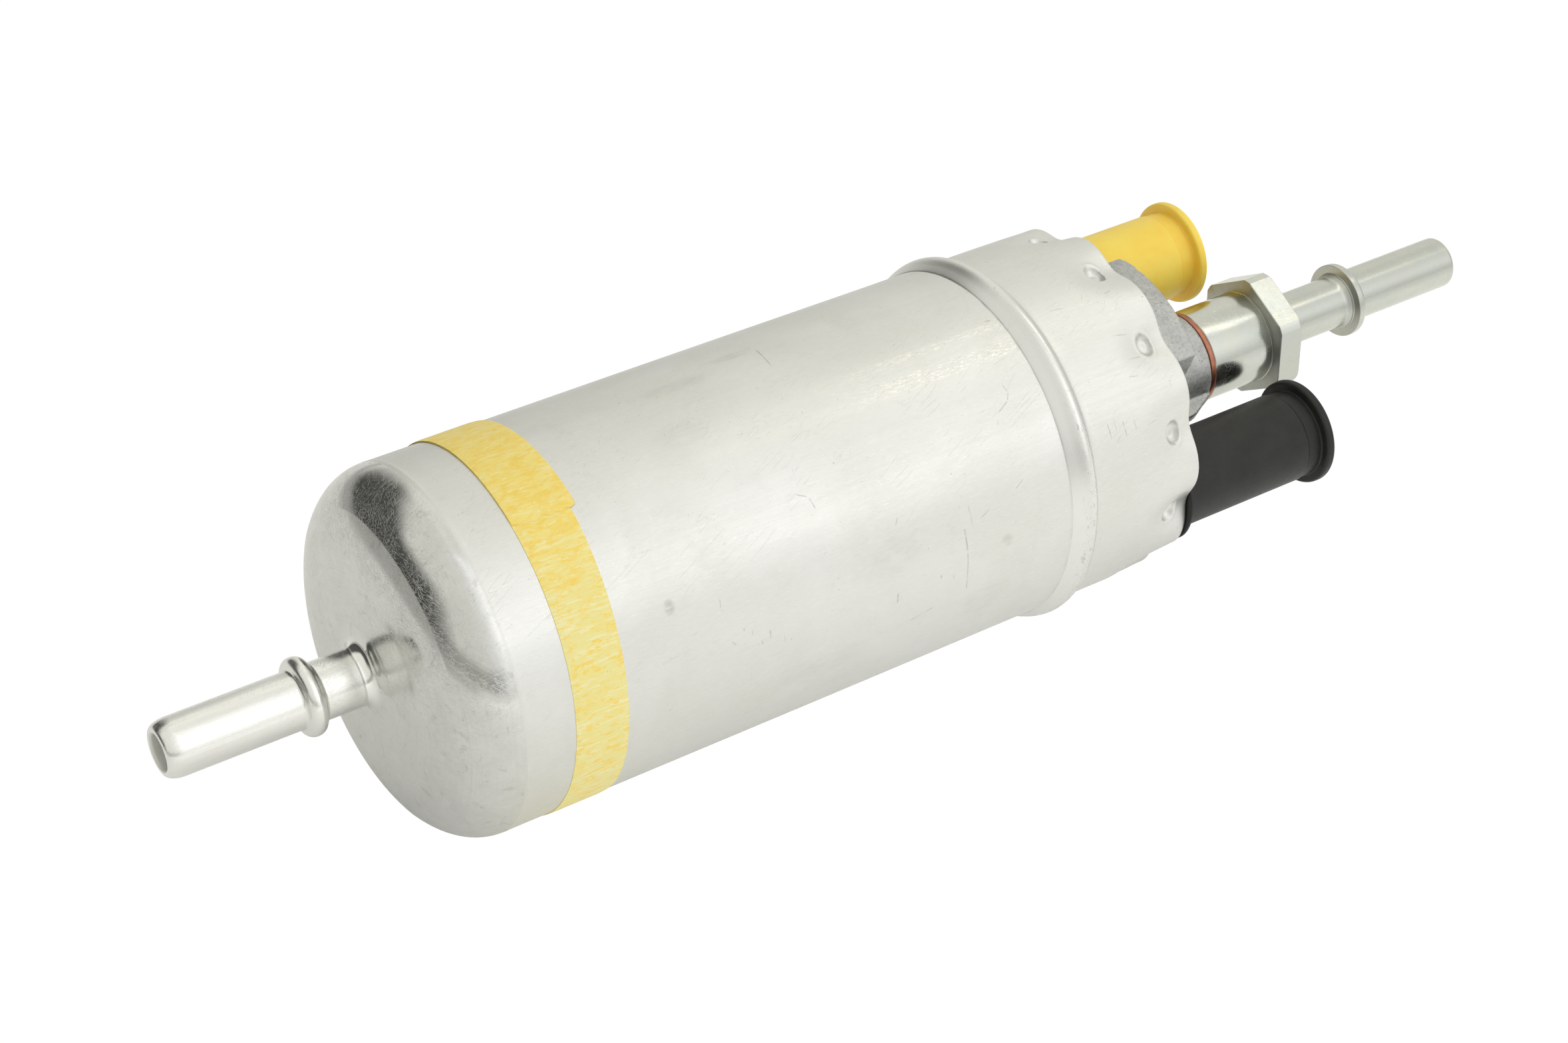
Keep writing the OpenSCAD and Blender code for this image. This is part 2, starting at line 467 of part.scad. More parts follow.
module pump_screw_3() pump_screw(2);
ball_r = 2.3;
module relief_ball() color([0.8, 0.8, 0.82]) off_axis(x_dis + 4 - sqrt(ball_r * ball_r - 1.5 * 1.5) - 0.04, relief_r, relief_a) sphere(r = ball_r, $fn = 48);
module relief_spring() color([0.7, 0.7, 0.72]) off_axis(-46.9, relief_r, relief_a) coil(1.7, 12.7, 7, 0.3);
module relief_plug() color([0.76, 0.66, 0.4]) off_axis(x_intake, relief_r, relief_a) tube(2.55, 0.9, 3);
module bush(x, l) color([0.7, 0.55, 0.3]) on_axis(x) tube(4.96, shaft_r + 0.03, l);
module bearing_intake() bush(x_intake, 5.9);
module bearing_discharge() bush(x_dis + 0.1, 6.9);
module bearing_cover() bush(41.6, 8.3);
module damper_ring() color([0.13, 0.13, 0.13]) on_axis(-57.4) rotate_extrude($fn = 64)
  polygon([[9, 0.4], [9.4, 0], [14.6, 0], [15, 0.4], [15, 7.0], [14.6, 7.38], [9.4, 7.38], [9, 7.0]]);
module inlet_strainer() color([0.72, 0.72, 0.66]) on_axis(-59.1) rotate_extrude($fn = 48)
  polygon([[3, 0], [7.5, 0], [7.5, 0.8], [6.4, 0.8], [5.4, 6.2], [4.8, 6.8], [0, 6.8], [0, 6.3], [4.6, 6.3], [4.9, 6.0], [5.9, 0.5], [3, 0.5]]);

housing_can();
tape_band();
end_cover();
bearing_carrier();
cover_oring();
outlet_fitting();
sealing_washer();
check_valve_seat();
check_valve_poppet();
check_valve_spring();
yellow_cap();
black_cap();
stud_positive();
stud_negative();
insulator_positive();
insulator_negative();
terminal_washer_positive();
terminal_washer_negative();
nut_positive();
nut_negative();
brush_holder();
brush_a();
brush_b();
brush_spring_a();
brush_spring_b();
choke_positive();
choke_negative();
shaft();
armature_core();
armature_windings();
commutator();
thrust_washer();
magnet_a();
magnet_b();
magnet_clip_a();
magnet_clip_b();
flux_ring();
intake_plate();
pump_ring();
outer_gear();
inner_gear();
discharge_plate();
pump_screw_1();
pump_screw_2();
pump_screw_3();
relief_ball();
relief_spring();
relief_plug();
bearing_intake();
bearing_discharge();
bearing_cover();
damper_ring();
inlet_strainer();
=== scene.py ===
import json
import math

import bmesh
import bpy
import numpy as np
from mathutils import Matrix, Vector

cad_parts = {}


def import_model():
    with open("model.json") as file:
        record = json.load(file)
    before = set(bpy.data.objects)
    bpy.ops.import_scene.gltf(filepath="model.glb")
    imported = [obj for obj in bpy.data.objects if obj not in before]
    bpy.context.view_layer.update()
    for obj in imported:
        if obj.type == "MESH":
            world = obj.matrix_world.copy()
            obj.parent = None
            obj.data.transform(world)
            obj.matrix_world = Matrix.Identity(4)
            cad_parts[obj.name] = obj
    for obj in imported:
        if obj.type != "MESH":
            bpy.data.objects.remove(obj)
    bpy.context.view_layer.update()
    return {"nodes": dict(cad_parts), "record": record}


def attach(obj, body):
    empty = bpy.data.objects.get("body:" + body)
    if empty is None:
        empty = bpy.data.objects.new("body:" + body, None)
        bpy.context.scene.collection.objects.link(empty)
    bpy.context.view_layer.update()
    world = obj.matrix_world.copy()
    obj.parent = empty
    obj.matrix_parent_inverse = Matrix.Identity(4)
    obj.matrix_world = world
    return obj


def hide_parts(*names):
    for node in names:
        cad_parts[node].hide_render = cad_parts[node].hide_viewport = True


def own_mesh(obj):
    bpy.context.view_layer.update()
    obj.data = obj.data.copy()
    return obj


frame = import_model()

MM = 0.001
NODES = frame["nodes"]
scene = bpy.context.scene
rng = np.random.default_rng(7)

# ------------------------------------------------------------------ mesh helpers
# All lengths below are in millimetres in the part's own frame; angle a runs from +Y towards +Z.


def make(name, verts, quads, tris=(), sharp=None):
    """A mesh object from arrays of vertices (mm), quads and triangles."""
    me = bpy.data.meshes.new(name)
    V = np.asarray(verts, float) * MM
    q = np.asarray(quads, np.int32).reshape(-1, 4)
    t = np.asarray(tris, np.int32).reshape(-1, 3)
    me.vertices.add(len(V))
    me.vertices.foreach_set("co", V.astype(np.float32).ravel())
    loops = np.concatenate([q.ravel(), t.ravel()])
    starts = np.concatenate([np.arange(len(q)) * 4, len(q) * 4 + np.arange(len(t)) * 3])
    me.loops.add(len(loops))
    me.loops.foreach_set("vertex_index", loops)
    me.polygons.add(len(starts))
    me.polygons.foreach_set("loop_start", starts.astype(np.int32))
    me.update(calc_edges=True)
    me.validate()
    me.shade_smooth()
    if sharp is not None:
        me.set_sharp_from_angle(angle=math.radians(sharp))
    ob = bpy.data.objects.new(name, me)
    scene.collection.objects.link(ob)
    return ob


def grid(P, closed=True):
    """Quads of a grid of points P[row, column], columns closed round."""
    n, m = P.shape[:2]
    i, j = np.mgrid[0 : n - 1, 0 : (m if closed else m - 1)]
    k = (j + 1) % m
    return np.stack([i * m + j, i * m + k, (i + 1) * m + k, (i + 1) * m + j], -1).reshape(-1, 4)


def revolve(name, prof, n=256, oy=0.0, oz=0.0, sharp=35, mod=None):
    """Turns a profile of (x, r) round an axis along X at (oy, oz). r = 0 at an end closes it."""
    prof = np.asarray(prof, float)
    start, end = prof[0, 1] < 1e-6, prof[-1, 1] < 1e-6
    body = prof[(1 if start else 0) : (len(prof) - 1 if end else len(prof))]
    a = np.linspace(0, 2 * np.pi, n, endpoint=False)
    X = np.repeat(body[:, :1], n, 1)
    R = np.repeat(body[:, 1:2], n, 1)
    A = np.repeat(a[None], len(body), 0)
    if mod:
        X, R = mod(X, R, A)
    P = np.stack([X, oy + R * np.cos(A), oz + R * np.sin(A)], -1)
    V = P.reshape(-1, 3)
    Q = grid(P)
    T = []
    j = np.arange(n)
    k = (j + 1) % n
    if start:
        V = np.vstack([V, [[prof[0, 0], oy, oz]]])
        T.append(np.stack([np.full(n, len(V) - 1), k, j], -1))
    if end:
        V = np.vstack([V, [[prof[-1, 0], oy, oz]]])
        base = (len(body) - 1) * n
        T.append(np.stack([np.full(n, len(V) - 1), base + j, base + k], -1))
    T = np.concatenate(T) if T else ()
    return make(name, V, Q, T, sharp)


def arc(cx, cy, rx, ry, a0, a1, n):
    t = np.radians(np.linspace(a0, a1, n))
    return np.stack([cx + rx * np.cos(t), cy + ry * np.sin(t)], -1)


def line(x0, r0, x1, r1, n=2):
    t = np.linspace(0, 1, n)
    return np.stack([x0 + (x1 - x0) * t, r0 + (r1 - r0) * t], -1)


def path(*parts):
    """Joins pieces of profile and drops repeated points."""
    pts = np.concatenate([np.atleast_2d(np.asarray(p, float)) for p in parts])
    keep = [0]
    for i in range(1, len(pts)):
        if np.hypot(*(pts[i] - pts[keep[-1]])) > 1e-4:
            keep.append(i)
    return pts[keep]


def rounded(points, radius, n=5):
    """A polyline profile with each inner corner rounded. radius is one number or one per inner corner."""
    pts = [np.asarray(p, float) for p in points]
    rs = radius if isinstance(radius, (list, tuple)) else [radius] * (len(pts) - 2)
    out = [pts[0]]
    for i in range(1, len(pts) - 1):
        p, a, b, r = pts[i], pts[i - 1], pts[i + 1], rs[i - 1]
        u, v = a - p, b - p
        lu, lv = np.hypot(*u), np.hypot(*v)
        u, v = u / lu, v / lv
        ang = math.acos(float(np.clip(u @ v, -1, 1)))
        if r <= 0 or ang > math.pi - 0.02:
            out.append(p)
            continue
        d = min(r / math.tan(ang / 2), lu * 0.49, lv * 0.49)
        p0, p1 = p + u * d, p + v * d
        for t in np.linspace(0, 1, n):
            out.append((1 - t) ** 2 * p0 + 2 * t * (1 - t) * p + t**2 * p1)
    out.append(pts[-1])
    return np.array(out)


def soft_min(a, b, k):
    h = np.clip(0.5 + 0.5 * (b - a) / k, 0, 1)
    return b * (1 - h) + a * h - k * h * (1 - h)


def step(x, a, b):
    t = np.clip((x - a) / (b - a), 0, 1)
    return t * t * (3 - 2 * t)


def wob(a, seed, lo=2, hi=9, power=1.0):
    """A smooth periodic wobble of the angle a, about -1 to 1."""
    g = np.random.default_rng(seed)
    s = np.zeros_like(a)
    w = 0
    for k in range(lo, hi):
        c = k ** (-power)
        s = s + c * np.cos(k * a + g.uniform(0, 2 * np.pi))
        w += c
    return s / w * 1.6


# ------------------------------------------------------------------ node helpers


METAL_TONE = 0.905  # keeps bare metal in step with the strength of the light


class Mat:
    """A procedural material, built with short calls. Textures work in millimetres of the part's frame."""

    def __init__(self, name):
        self.m = bpy.data.materials.new(name)
        self.m.use_nodes = True
        self.t = self.m.node_tree
        self.t.nodes.clear()
        self.out = self.t.nodes.new("ShaderNodeOutputMaterial")
        self.b = self.t.nodes.new("ShaderNodeBsdfPrincipled")
        self.t.links.new(self.b.outputs[0], self.out.inputs[0])
        co = self.t.nodes.new("ShaderNodeTexCoord")
        sc = self.t.nodes.new("ShaderNodeVectorMath")
        sc.operation = "SCALE"
        self.t.links.new(co.outputs["Object"], sc.inputs[0])
        sc.inputs["Scale"].default_value = 1000.0
        self.p = sc.outputs[0]
        sep = self.t.nodes.new("ShaderNodeSeparateXYZ")
        self.t.links.new(self.p, sep.inputs[0])
        self.x, self.y, self.z = sep.outputs

    def put(self, socket, v):
        if isinstance(v, bpy.types.NodeSocket):
            self.t.links.new(v, socket)
        elif isinstance(v, (tuple, list)) and socket.type == "RGBA" and len(v) == 3:
            socket.default_value = (*v, 1.0)
        else:
            socket.default_value = v

    def math(self, op, a, b=None, c=None, clamp=False):
        n = self.t.nodes.new("ShaderNodeMath")
        n.operation = op
        n.use_clamp = clamp
        for i, v in enumerate((a, b, c)):
            if v is not None:
                self.put(n.inputs[i], v)
        return n.outputs[0]

    def vec(self, x, y, z):
        n = self.t.nodes.new("ShaderNodeCombineXYZ")
        for i, v in enumerate((x, y, z)):
            self.put(n.inputs[i], v)
        return n.outputs[0]

    def scaled(self, sx, sy, sz, rot=(0, 0, 0), loc=(0, 0, 0), source=None):
        n = self.t.nodes.new("ShaderNodeMapping")
        self.t.links.new(source or self.p, n.inputs[0])
        n.inputs["Scale"].default_value = (sx, sy, sz)
        n.inputs["Rotation"].default_value = rot
        n.inputs["Location"].default_value = loc
        return n.outputs[0]

    def turned(self, rot, sx, sy, sz, loc=(0, 0, 0)):
        """Coordinates turned first and stretched after."""
        a = self.scaled(1, 1, 1, rot=rot)
        return self.scaled(sx, sy, sz, loc=loc, source=a)

    def noise(self, vector, scale=1.0, detail=4.0, rough=0.55, distortion=0.0, lac=2.0):
        n = self.t.nodes.new("ShaderNodeTexNoise")
        self.t.links.new(vector, n.inputs["Vector"])
        n.inputs["Scale"].default_value = scale
        n.inputs["Detail"].default_value = detail
        n.inputs["Roughness"].default_value = rough
        n.inputs["Lacunarity"].default_value = lac
        n.inputs["Distortion"].default_value = distortion
        return n.outputs["Fac"]

    def cells(self, vector, scale=1.0, feature="F1", out="Distance", random=1.0):
        n = self.t.nodes.new("ShaderNodeTexVoronoi")
        n.feature = feature
        self.t.links.new(vector, n.inputs["Vector"])
        n.inputs["Scale"].default_value = scale
        n.inputs["Randomness"].default_value = random
        return n.outputs[out]

    def remap(self, v, a, b, c=0.0, d=1.0, smooth=False):
        n = self.t.nodes.new("ShaderNodeMapRange")
        n.interpolation_type = "SMOOTHSTEP" if smooth else "LINEAR"
        self.put(n.inputs["Value"], v)
        n.inputs["From Min"].default_value = a
        n.inputs["From Max"].default_value = b
        n.inputs["To Min"].default_value = c
        n.inputs["To Max"].default_value = d
        return n.outputs["Result"]

    def mix(self, fac, a, b, mode="MIX"):
        n = self.t.nodes.new("ShaderNodeMix")
        n.data_type = "RGBA"
        n.blend_type = mode
        n.clamp_factor = True
        self.put(n.inputs[0], fac)
        self.put(n.inputs[6], a)
        self.put(n.inputs[7], b)
        return n.outputs[2]

    def lerp(self, fac, a, b):
        n = self.t.nodes.new("ShaderNodeMix")
        n.data_type = "FLOAT"
        n.clamp_factor = True
        self.put(n.inputs[0], fac)
        self.put(n.inputs[2], a)
        self.put(n.inputs[3], b)
        return n.outputs[0]

    def ramp(self, v, *stops):
        n = self.t.nodes.new("ShaderNodeValToRGB")
        self.put(n.inputs[0], v)
        e = n.color_ramp.elements
        while len(e) < len(stops):
            e.new(0.5)
        for el, (pos, col) in zip(e, stops):
            el.position = pos
            el.color = (*col, 1) if isinstance(col, (tuple, list)) else (col, col, col, 1)
        return n.outputs[0]

    def add(self, *v):
        s = v[0]
        for w in v[1:]:
            s = self.math("ADD", s, w)
        return s

    def mul(self, *v):
        s = v[0]
        for w in v[1:]:
            s = self.math("MULTIPLY", s, w)
        return s

    def radius(self, oy=0.0, oz=0.0):
        y = self.math("SUBTRACT", self.y, oy)
        z = self.math("SUBTRACT", self.z, oz)
        return self.math("SQRT", self.add(self.mul(y, y), self.mul(z, z)))

    def polar(self, kr, kt, kx, oy=0.0, oz=0.0):
        """Coordinates for marks that run round the axis, with no seam."""
        y = self.math("SUBTRACT", self.y, oy)
        z = self.math("SUBTRACT", self.z, oz)
        r = self.math("MAXIMUM", self.radius(oy, oz), 0.05)
        return self.vec(self.add(self.mul(r, kr), self.mul(self.x, kx)), self.mul(self.math("DIVIDE", y, r), kt), self.mul(self.math("DIVIDE", z, r), kt))

    def bump(self, height, distance_mm, strength=1.0, normal=None):
        n = self.t.nodes.new("ShaderNodeBump")
        n.inputs["Strength"].default_value = strength
        n.inputs["Distance"].default_value = distance_mm * MM
        self.t.links.new(height, n.inputs["Height"])
        if normal is not None:
            self.t.links.new(normal, n.inputs["Normal"])
        return n.outputs[0]

    def vmath(self, op, a, b):
        n = self.t.nodes.new("ShaderNodeVectorMath")
        n.operation = op
        self.put(n.inputs[0], a)
        self.put(n.inputs[1], b)
        return n.outputs["Value"] if op in ("DOT_PRODUCT", "DISTANCE") else n.outputs["Vector"]

    def set(self, **kw):
        if kw.get("metal") == 1.0:
            kw["color"] = self.mix(1.0, kw["color"], (METAL_TONE,) * 3, "MULTIPLY")
        names = dict(color="Base Color", rough="Roughness", metal="Metallic", normal="Normal", aniso="Anisotropic", spec="Specular IOR Level",
                     coat="Coat Weight", coat_rough="Coat Roughness", sub="Subsurface Weight", sub_radius="Subsurface Radius", sub_scale="Subsurface Scale",
                     sheen="Sheen Weight", tint="Specular Tint", ior="IOR", emission="Emission Color", emission_strength="Emission Strength")
        for k, v in kw.items():
            self.put(self.b.inputs[names[k]], v)
        return self.m


def give(ob, mat):
    me = ob.data
    if len(me.materials) == 0:
        me.materials.append(mat)
    else:
        for i in range(len(me.materials)):
            me.materials[i] = mat


def piece(ob, body, mat, slot, *nodes):
    give(ob, mat)
    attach(ob, body)
    if nodes:
        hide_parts(*nodes)
    return ob


# ------------------------------------------------------------------ materials


def scratches(m, rot, sx, syz, width, keep, loc=(0, 0, 0), level=0.5):
    """Thin long scratches: where one stretched noise crosses a level, kept only in patches of another."""
    n = m.noise(m.turned(rot, sx, syz, syz, loc), 1.0, 1, 0.4)
    thin = m.remap(m.math("ABSOLUTE", m.math("SUBTRACT", n, level)), 0.0, width, 1, 0, True)
    patch = m.remap(m.noise(m.scaled(1, 1, 1, loc=(loc[1] + 3, loc[0] + 5, 2)), 0.22, 3, 0.6), keep, keep + 0.08, 0, 1, True)
    return m.mul(thin, patch)


def mark(m, plane, x0, s0, x1, s1, w):
    """One given scratch: a line with soft ends on the can unrolled to (x, girth). Above 0 only on the line."""
    n = math.hypot(x1 - x0, s1 - s0)
    c, q = (x1 - x0) / n, (s1 - s0) / n
    d = m.vmath("SUBTRACT", plane, ((x0 + x1) / 2, (s0 + s1) / 2, 0))
    u = m.math("ABSOLUTE", m.vmath("DOT_PRODUCT", d, (c, q, 0)))
    v = m.math("ABSOLUTE", m.vmath("DOT_PRODUCT", d, (-q, c, 0)))
    k = 1 / (0.05 + min(0.5, n / 3))
    return m.math("MINIMUM", m.math("MULTIPLY_ADD", v, -1 / (0.75 * w), 1 / 0.75), m.math("MULTIPLY_ADD", u, -k, k * (n / 2 + 0.05)))


def spot(m, plane, x, s, rx, rs):
    """A soft round or oval patch on the unrolled can."""
    d = m.vmath("MULTIPLY", m.vmath("SUBTRACT", plane, (x, s, 0)), (1 / rx, 1 / rs, 0))
    return m.remap(m.vmath("DISTANCE", d, (0, 0, 0)), 1.0, 0.25, 0, 1, True)


def aluminium_can():
    m = Mat("can_aluminium_drawn")
    r = m.radius()
    # the can unrolled: x, and the girth from +Y towards +Z
    q = math.radians(120)
    ya = m.add(m.mul(m.y, math.cos(q)), m.mul(m.z, math.sin(q)))
    za = m.add(m.mul(m.y, -math.sin(q)), m.mul(m.z, math.cos(q)))
    girth = m.mul(m.add(m.math("ARCTAN2", za, ya), q), 26.0)
    plane = m.vec(m.x, girth, 0.0)
    # where things are
    dome = m.remap(m.x, -50.9, -51.3, 0, 1, True)
    face = m.remap(m.x, -59.6, -60.2, 0, 1, True)
    tube = m.mul(m.remap(m.x, -60.5, -61.3, 0, 1, True), m.remap(r, 7.0, 6.0, 0, 1, True))
    fillet = m.mul(m.remap(m.x, -62.35, -62.2, 0, 1, True), m.remap(m.x, -60.2, -60.5, 0, 1, True), m.remap(r, 7.4, 6.2, 0, 1, True))
    rim = m.remap(m.x, 41.2, 42.0, 0, 1, True)
    bead = m.mul(m.remap(m.x, 37.0, 38.6, 0, 1, True), m.remap(m.x, 40.8, 40.1, 0, 1, True))
    ramp = m.mul(m.remap(m.x, 35.95, 36.1, 0, 1, True), m.remap(m.x, 38.6, 37.6, 0, 1, True))
    # long draw marks along the body, large and fine
    broad = m.noise(m.scaled(0.012, 0.35, 0.35), 1.0, 2, 0.5)
    streak = m.noise(m.scaled(0.05, 2.6, 2.6), 1.0, 4, 0.6)
    fine = m.noise(m.scaled(0.16, 11, 11), 1.0, 3, 0.6)
    # grain of the drawn sheet: short streaks along the axis, which sparkle in the highlight
    silk = m.noise(m.scaled(0.75, 5.2, 5.2), 1.0, 3, 0.7)
    grain = m.noise(m.scaled(2.6, 6.5, 6.5), 1.0, 3, 0.75)
    fleck = m.remap(m.noise(m.scaled(1.1, 5.5, 5.5, loc=(3, 1, 8)), 1.0, 2, 0.7), 0.60, 0.70, 0, 1, True)
    # handling marks: smudges, short nicks in a few directions, faint turned rings
    smudge = m.noise(m.p, 0.055, 5, 0.6, 0.6)
    swell = m.noise(m.p, 0.05, 1, 0.5)
    cloud = m.noise(m.scaled(1, 1, 1, loc=(31, 7, 3)), 0.16, 4, 0.6)
    patchy = m.noise(m.scaled(1, 1, 1, loc=(4, 17, 9)), 0.32, 5, 0.7, 0.8)
    nick_a = m.remap(m.noise(m.turned((0.3, 0.0, 0.5), 0.8, 7, 7), 1.0, 2, 0.5), 0.725, 0.775, 0, 1, True)
    nick_b = m.remap(m.noise(m.turned((0.0, 0.5, -0.9), 0.6, 8, 8, (9, 2, 4)), 1.0, 2, 0.5), 0.735, 0.785, 0, 1, True)
    dot = m.remap(m.cells(m.p, 0.23), 0.018, 0.034, 1, 0, True)
    nicks = m.math("MAXIMUM", m.math("MAXIMUM", nick_a, nick_b), dot)
    rings = m.noise(m.polar(6.5, 1.2, 6.5), 1.0, 4, 0.65)
    ring_fine = m.noise(m.polar(17, 2.0, 17), 1.0, 3, 0.6)
    hair = m.math("MAXIMUM", scratches(m, (0.9, 0.4, 0.2), 0.10, 1.7, 0.011, 0.44), scratches(m, (-0.5, 0.3, 1.1), 0.08, 1.4, 0.009, 0.46, (3, 8, 1)))
    hair2 = m.math("MAXIMUM", scratches(m, (0.2, -0.8, 0.6), 0.10, 2.1, 0.013, 0.42, (13, 2, 6)), scratches(m, (1.2, 0.9, -0.4), 0.12, 1.9, 0.012, 0.44, (6, 12, 4)))
    hairs = m.math("MAXIMUM", hair, hair2)
    rub = scratches(m, (0.0, 0.35, -0.25), 0.04, 0.9, 0.006, 0.50, (7, 3, 12))

    # scratches and scuffs left by handling, one by one
    dark_marks = [(3.0, 37.3, 2.3, 42.3, 0.20), (30.4, 57.8, 30.8, 59.2, 0.16), (30.8, 59.2, 30.1, 60.3, 0.15), (30.1, 60.3, 28.0, 61.4, 0.17), (27.5, 62.2, 27.2, 63.0, 0.22),
                  (19.0, 71.6, 19.2, 74.8, 0.12), (17.8, 74.6, 18.0, 78.3, 0.24), (18.0, 78.3, 17.9, 84.6, 0.16), (7.9, 69.6, 7.2, 70.8, 0.16), (6.3, 80.2, 6.2, 82.0, 0.24),
                  (13.5, 80.2, 13.5, 80.9, 0.2), (15.6, 81.0, 15.6, 81.7, 0.2), (-14.2, 77.9, -14.1, 79.4, 0.22), (-15.5, 79.0, -15.4, 79.8, 0.2), (-18.1, 76.2, -18.0, 76.7, 0.24),
                  (-16.8, 77.0, -16.9, 77.9, 0.16), (-12.0, 79.7, -12.0, 80.7, 0.18), (-20.7, 71.0, -20.9, 72.5, 0.16), (-20.1, 77.5, -19.4, 78.2, 0.18), (8.6, 86.1, 12.6, 85.3, 0.14),
                  (26.9, 72.1, 28.6, 71.1, 0.15), (20.6, 74.2, 22.4, 73.3, 0.14), (-5.6, 61.9, -4.0, 62.8, 0.16), (-3.9, 62.9, -3.5, 64.8, 0.18), (33.9, 48.0, 34.9, 48.2, 0.22),
                  (50.5, 57.0, 52.8, 57.4, 0.14), (51.2, 60.9, 53.6, 61.1, 0.12), (49.8, 63.2, 51.6, 63.5, 0.14), (44.0, 68.0, 44.2, 70.5, 0.13), (45.2, 67.5, 45.3, 69.8, 0.11),
                  (46.6, 68.5, 46.8, 71.0, 0.14), (48.5, 69.0, 48.6, 70.6, 0.12), (50.5, 70.5, 52.5, 70.2, 0.13), (43.5, 50.0, 46.0, 50.4, 0.11), (53.0, 50.5, 54.6, 50.2, 0.12),
                  (8.0, 104.0, 15.0, 106.5, 0.15), (-22.0, 20.0, -16.0, 24.0, 0.15), (24.0, 128.0, 26.5, 121.0, 0.15), (-26.0, 120.0, -12.0, 122.0, 0.13), (0.0, 148.0, 9.0, 151.0, 0.15)]
    dark = None
    for one in dark_marks:
        v = mark(m, plane, *one[:4], one[4] * 0.8)
        dark = v if dark is None else m.math("MAXIMUM", dark, v)
    dark = m.remap(dark, 0, 1, 0, 1, True)
    soil = m.mul(spot(m, plane, -0.5, 36.8, 5.0, 1.3), 0.55)
    for one, k in (((24.7, 78.9, 1.3, 1.5), 0.5), ((6.3, 74.5, 5.0, 4.5), 0.28), ((-11.0, 39.4, 9.0, 1.6), 0.3), ((17.0, 38.5, 3.0, 4.0), 0.22), ((-28.0, 69.7, 1.1, 1.4), 0.9),
                   ((-20.5, 66.0, 4.0, 5.0), 0.2), ((-16.0, 48.5, 6.0, 3.0), 0.2), ((22.0, 88.0, 6.0, 4.0), 0.25), ((-6.0, 88.0, 10.0, 3.0), 0.22), ((5.0, 130.0, 7.0, 5.0), 0.35), ((-18.0, 10.0, 8.0, 4.0), 0.3)):
        soil = m.math("MAXIMUM", soil, m.mul(spot(m, plane, *one), k))
    soil = m.mul(soil, m.remap(m.noise(m.scaled(0.35, 0.9, 0.9, loc=(6, 1, 3)), 1.0, 5, 0.7), 0.36, 0.60, 0.15, 1.0))
    # two bright bands next to the bead, as seen in the photograph: a stand-in for a lamp's glint on the grain
    sparkle = m.remap(m.noise(m.scaled(1.0, 4.2, 4.2, loc=(8, 8, 1)), 1.0, 3, 0.75), 0.47, 0.58, 0, 1, True)
    lit = m.math("MAXIMUM", m.remap(m.math("ABSOLUTE", m.math("SUBTRACT", girth, 49.1)), 0.80, 0.35, 0, 1, True), m.remap(m.math("ABSOLUTE", m.math("SUBTRACT", girth, 52.9)), 1.5, 0.8, 0, 1, True))
    lit = m.mul(lit, m.remap(m.x, 2.0, 20.0, 0, 1, True), m.remap(m.x, 35.9, 35.2, 0, 1, True))
    sparkle_lit = m.mul(sparkle, lit)

    # colour: nearly white metal, a little warmer where it has been handled
    col = m.mix(m.remap(smudge, 0.35, 0.7), (0.81, 0.815, 0.79), (0.765, 0.765, 0.725))
    col = m.mix(m.mul(m.remap(silk, 0.40, 0.75), 0.50), col, (0.87, 0.87, 0.85))
    col = m.mix(m.mul(m.remap(cloud, 0.58, 0.75), 0.20), col, (0.70, 0.70, 0.67))
    col = m.mix(m.mul(nicks, 0.50), col, (0.40, 0.40, 0.38))
    col = m.mix(m.mul(rub, m.math("SUBTRACT", 1.0, dome), 0.35), col, (0.56, 0.56, 0.54))
    col = m.mix(m.mul(fleck, m.math("SUBTRACT", 1.0, dome), 0.30), col, (0.95, 0.94, 0.90))
    col = m.mix(m.mul(soil, 0.75), col, (0.56, 0.55, 0.51))
    faint = m.remap(m.noise(m.scaled(1, 1, 1, loc=(12, 3, 7)), 0.9, 3, 0.7), 0.38, 0.58, 0.35, 1.0)
    col = m.mix(m.mul(dark, faint, 0.42), col, (0.30, 0.30, 0.28))
    col = m.mix(m.mul(sparkle_lit, 0.70), col, (1.0, 0.965, 0.89))
    # the domed end is burnished; its greyer colour is painted shade, for the darker surroundings it reflects
    col = m.mix(m.mul(m.math("MAXIMUM", dome, face), m.math("SUBTRACT", 1.0, tube), 0.85), col, m.mix(m.remap(patchy, 0.35, 0.7), (0.77, 0.775, 0.75), (0.69, 0.695, 0.67)))
    col = m.mix(m.mul(face, m.math("SUBTRACT", 1.0, tube), 0.5), col, (0.83, 0.835, 0.81))
    arcs = m.remap(m.noise(m.polar(3.4, 0.8, 3.4), 1.0, 5, 0.75), 0.50, 0.66, 0, 1, True)
    col = m.mix(m.mul(arcs, m.math("MAXIMUM", dome, face), m.math("SUBTRACT", 1.0, tube), m.remap(cloud, 0.35, 0.6), 0.34), col, (0.60, 0.60, 0.575))
    col = m.mix(m.mul(hairs, dome, m.math("SUBTRACT", 1.0, tube), 0.35), col, (0.86, 0.86, 0.83))
    # the inlet tube's colour is raised nearly to white: a painted highlight
    col = m.mix(m.mul(tube, 0.9), col, m.mix(m.remap(fine, 0.35, 0.65), (1.0, 0.995, 0.965), (0.94, 0.935, 0.90)))
    col = m.mix(m.mul(tube, m.remap(m.noise(m.p, 0.45, 4, 0.6), 0.58, 0.74), 0.25), col, (0.84, 0.815, 0.76))
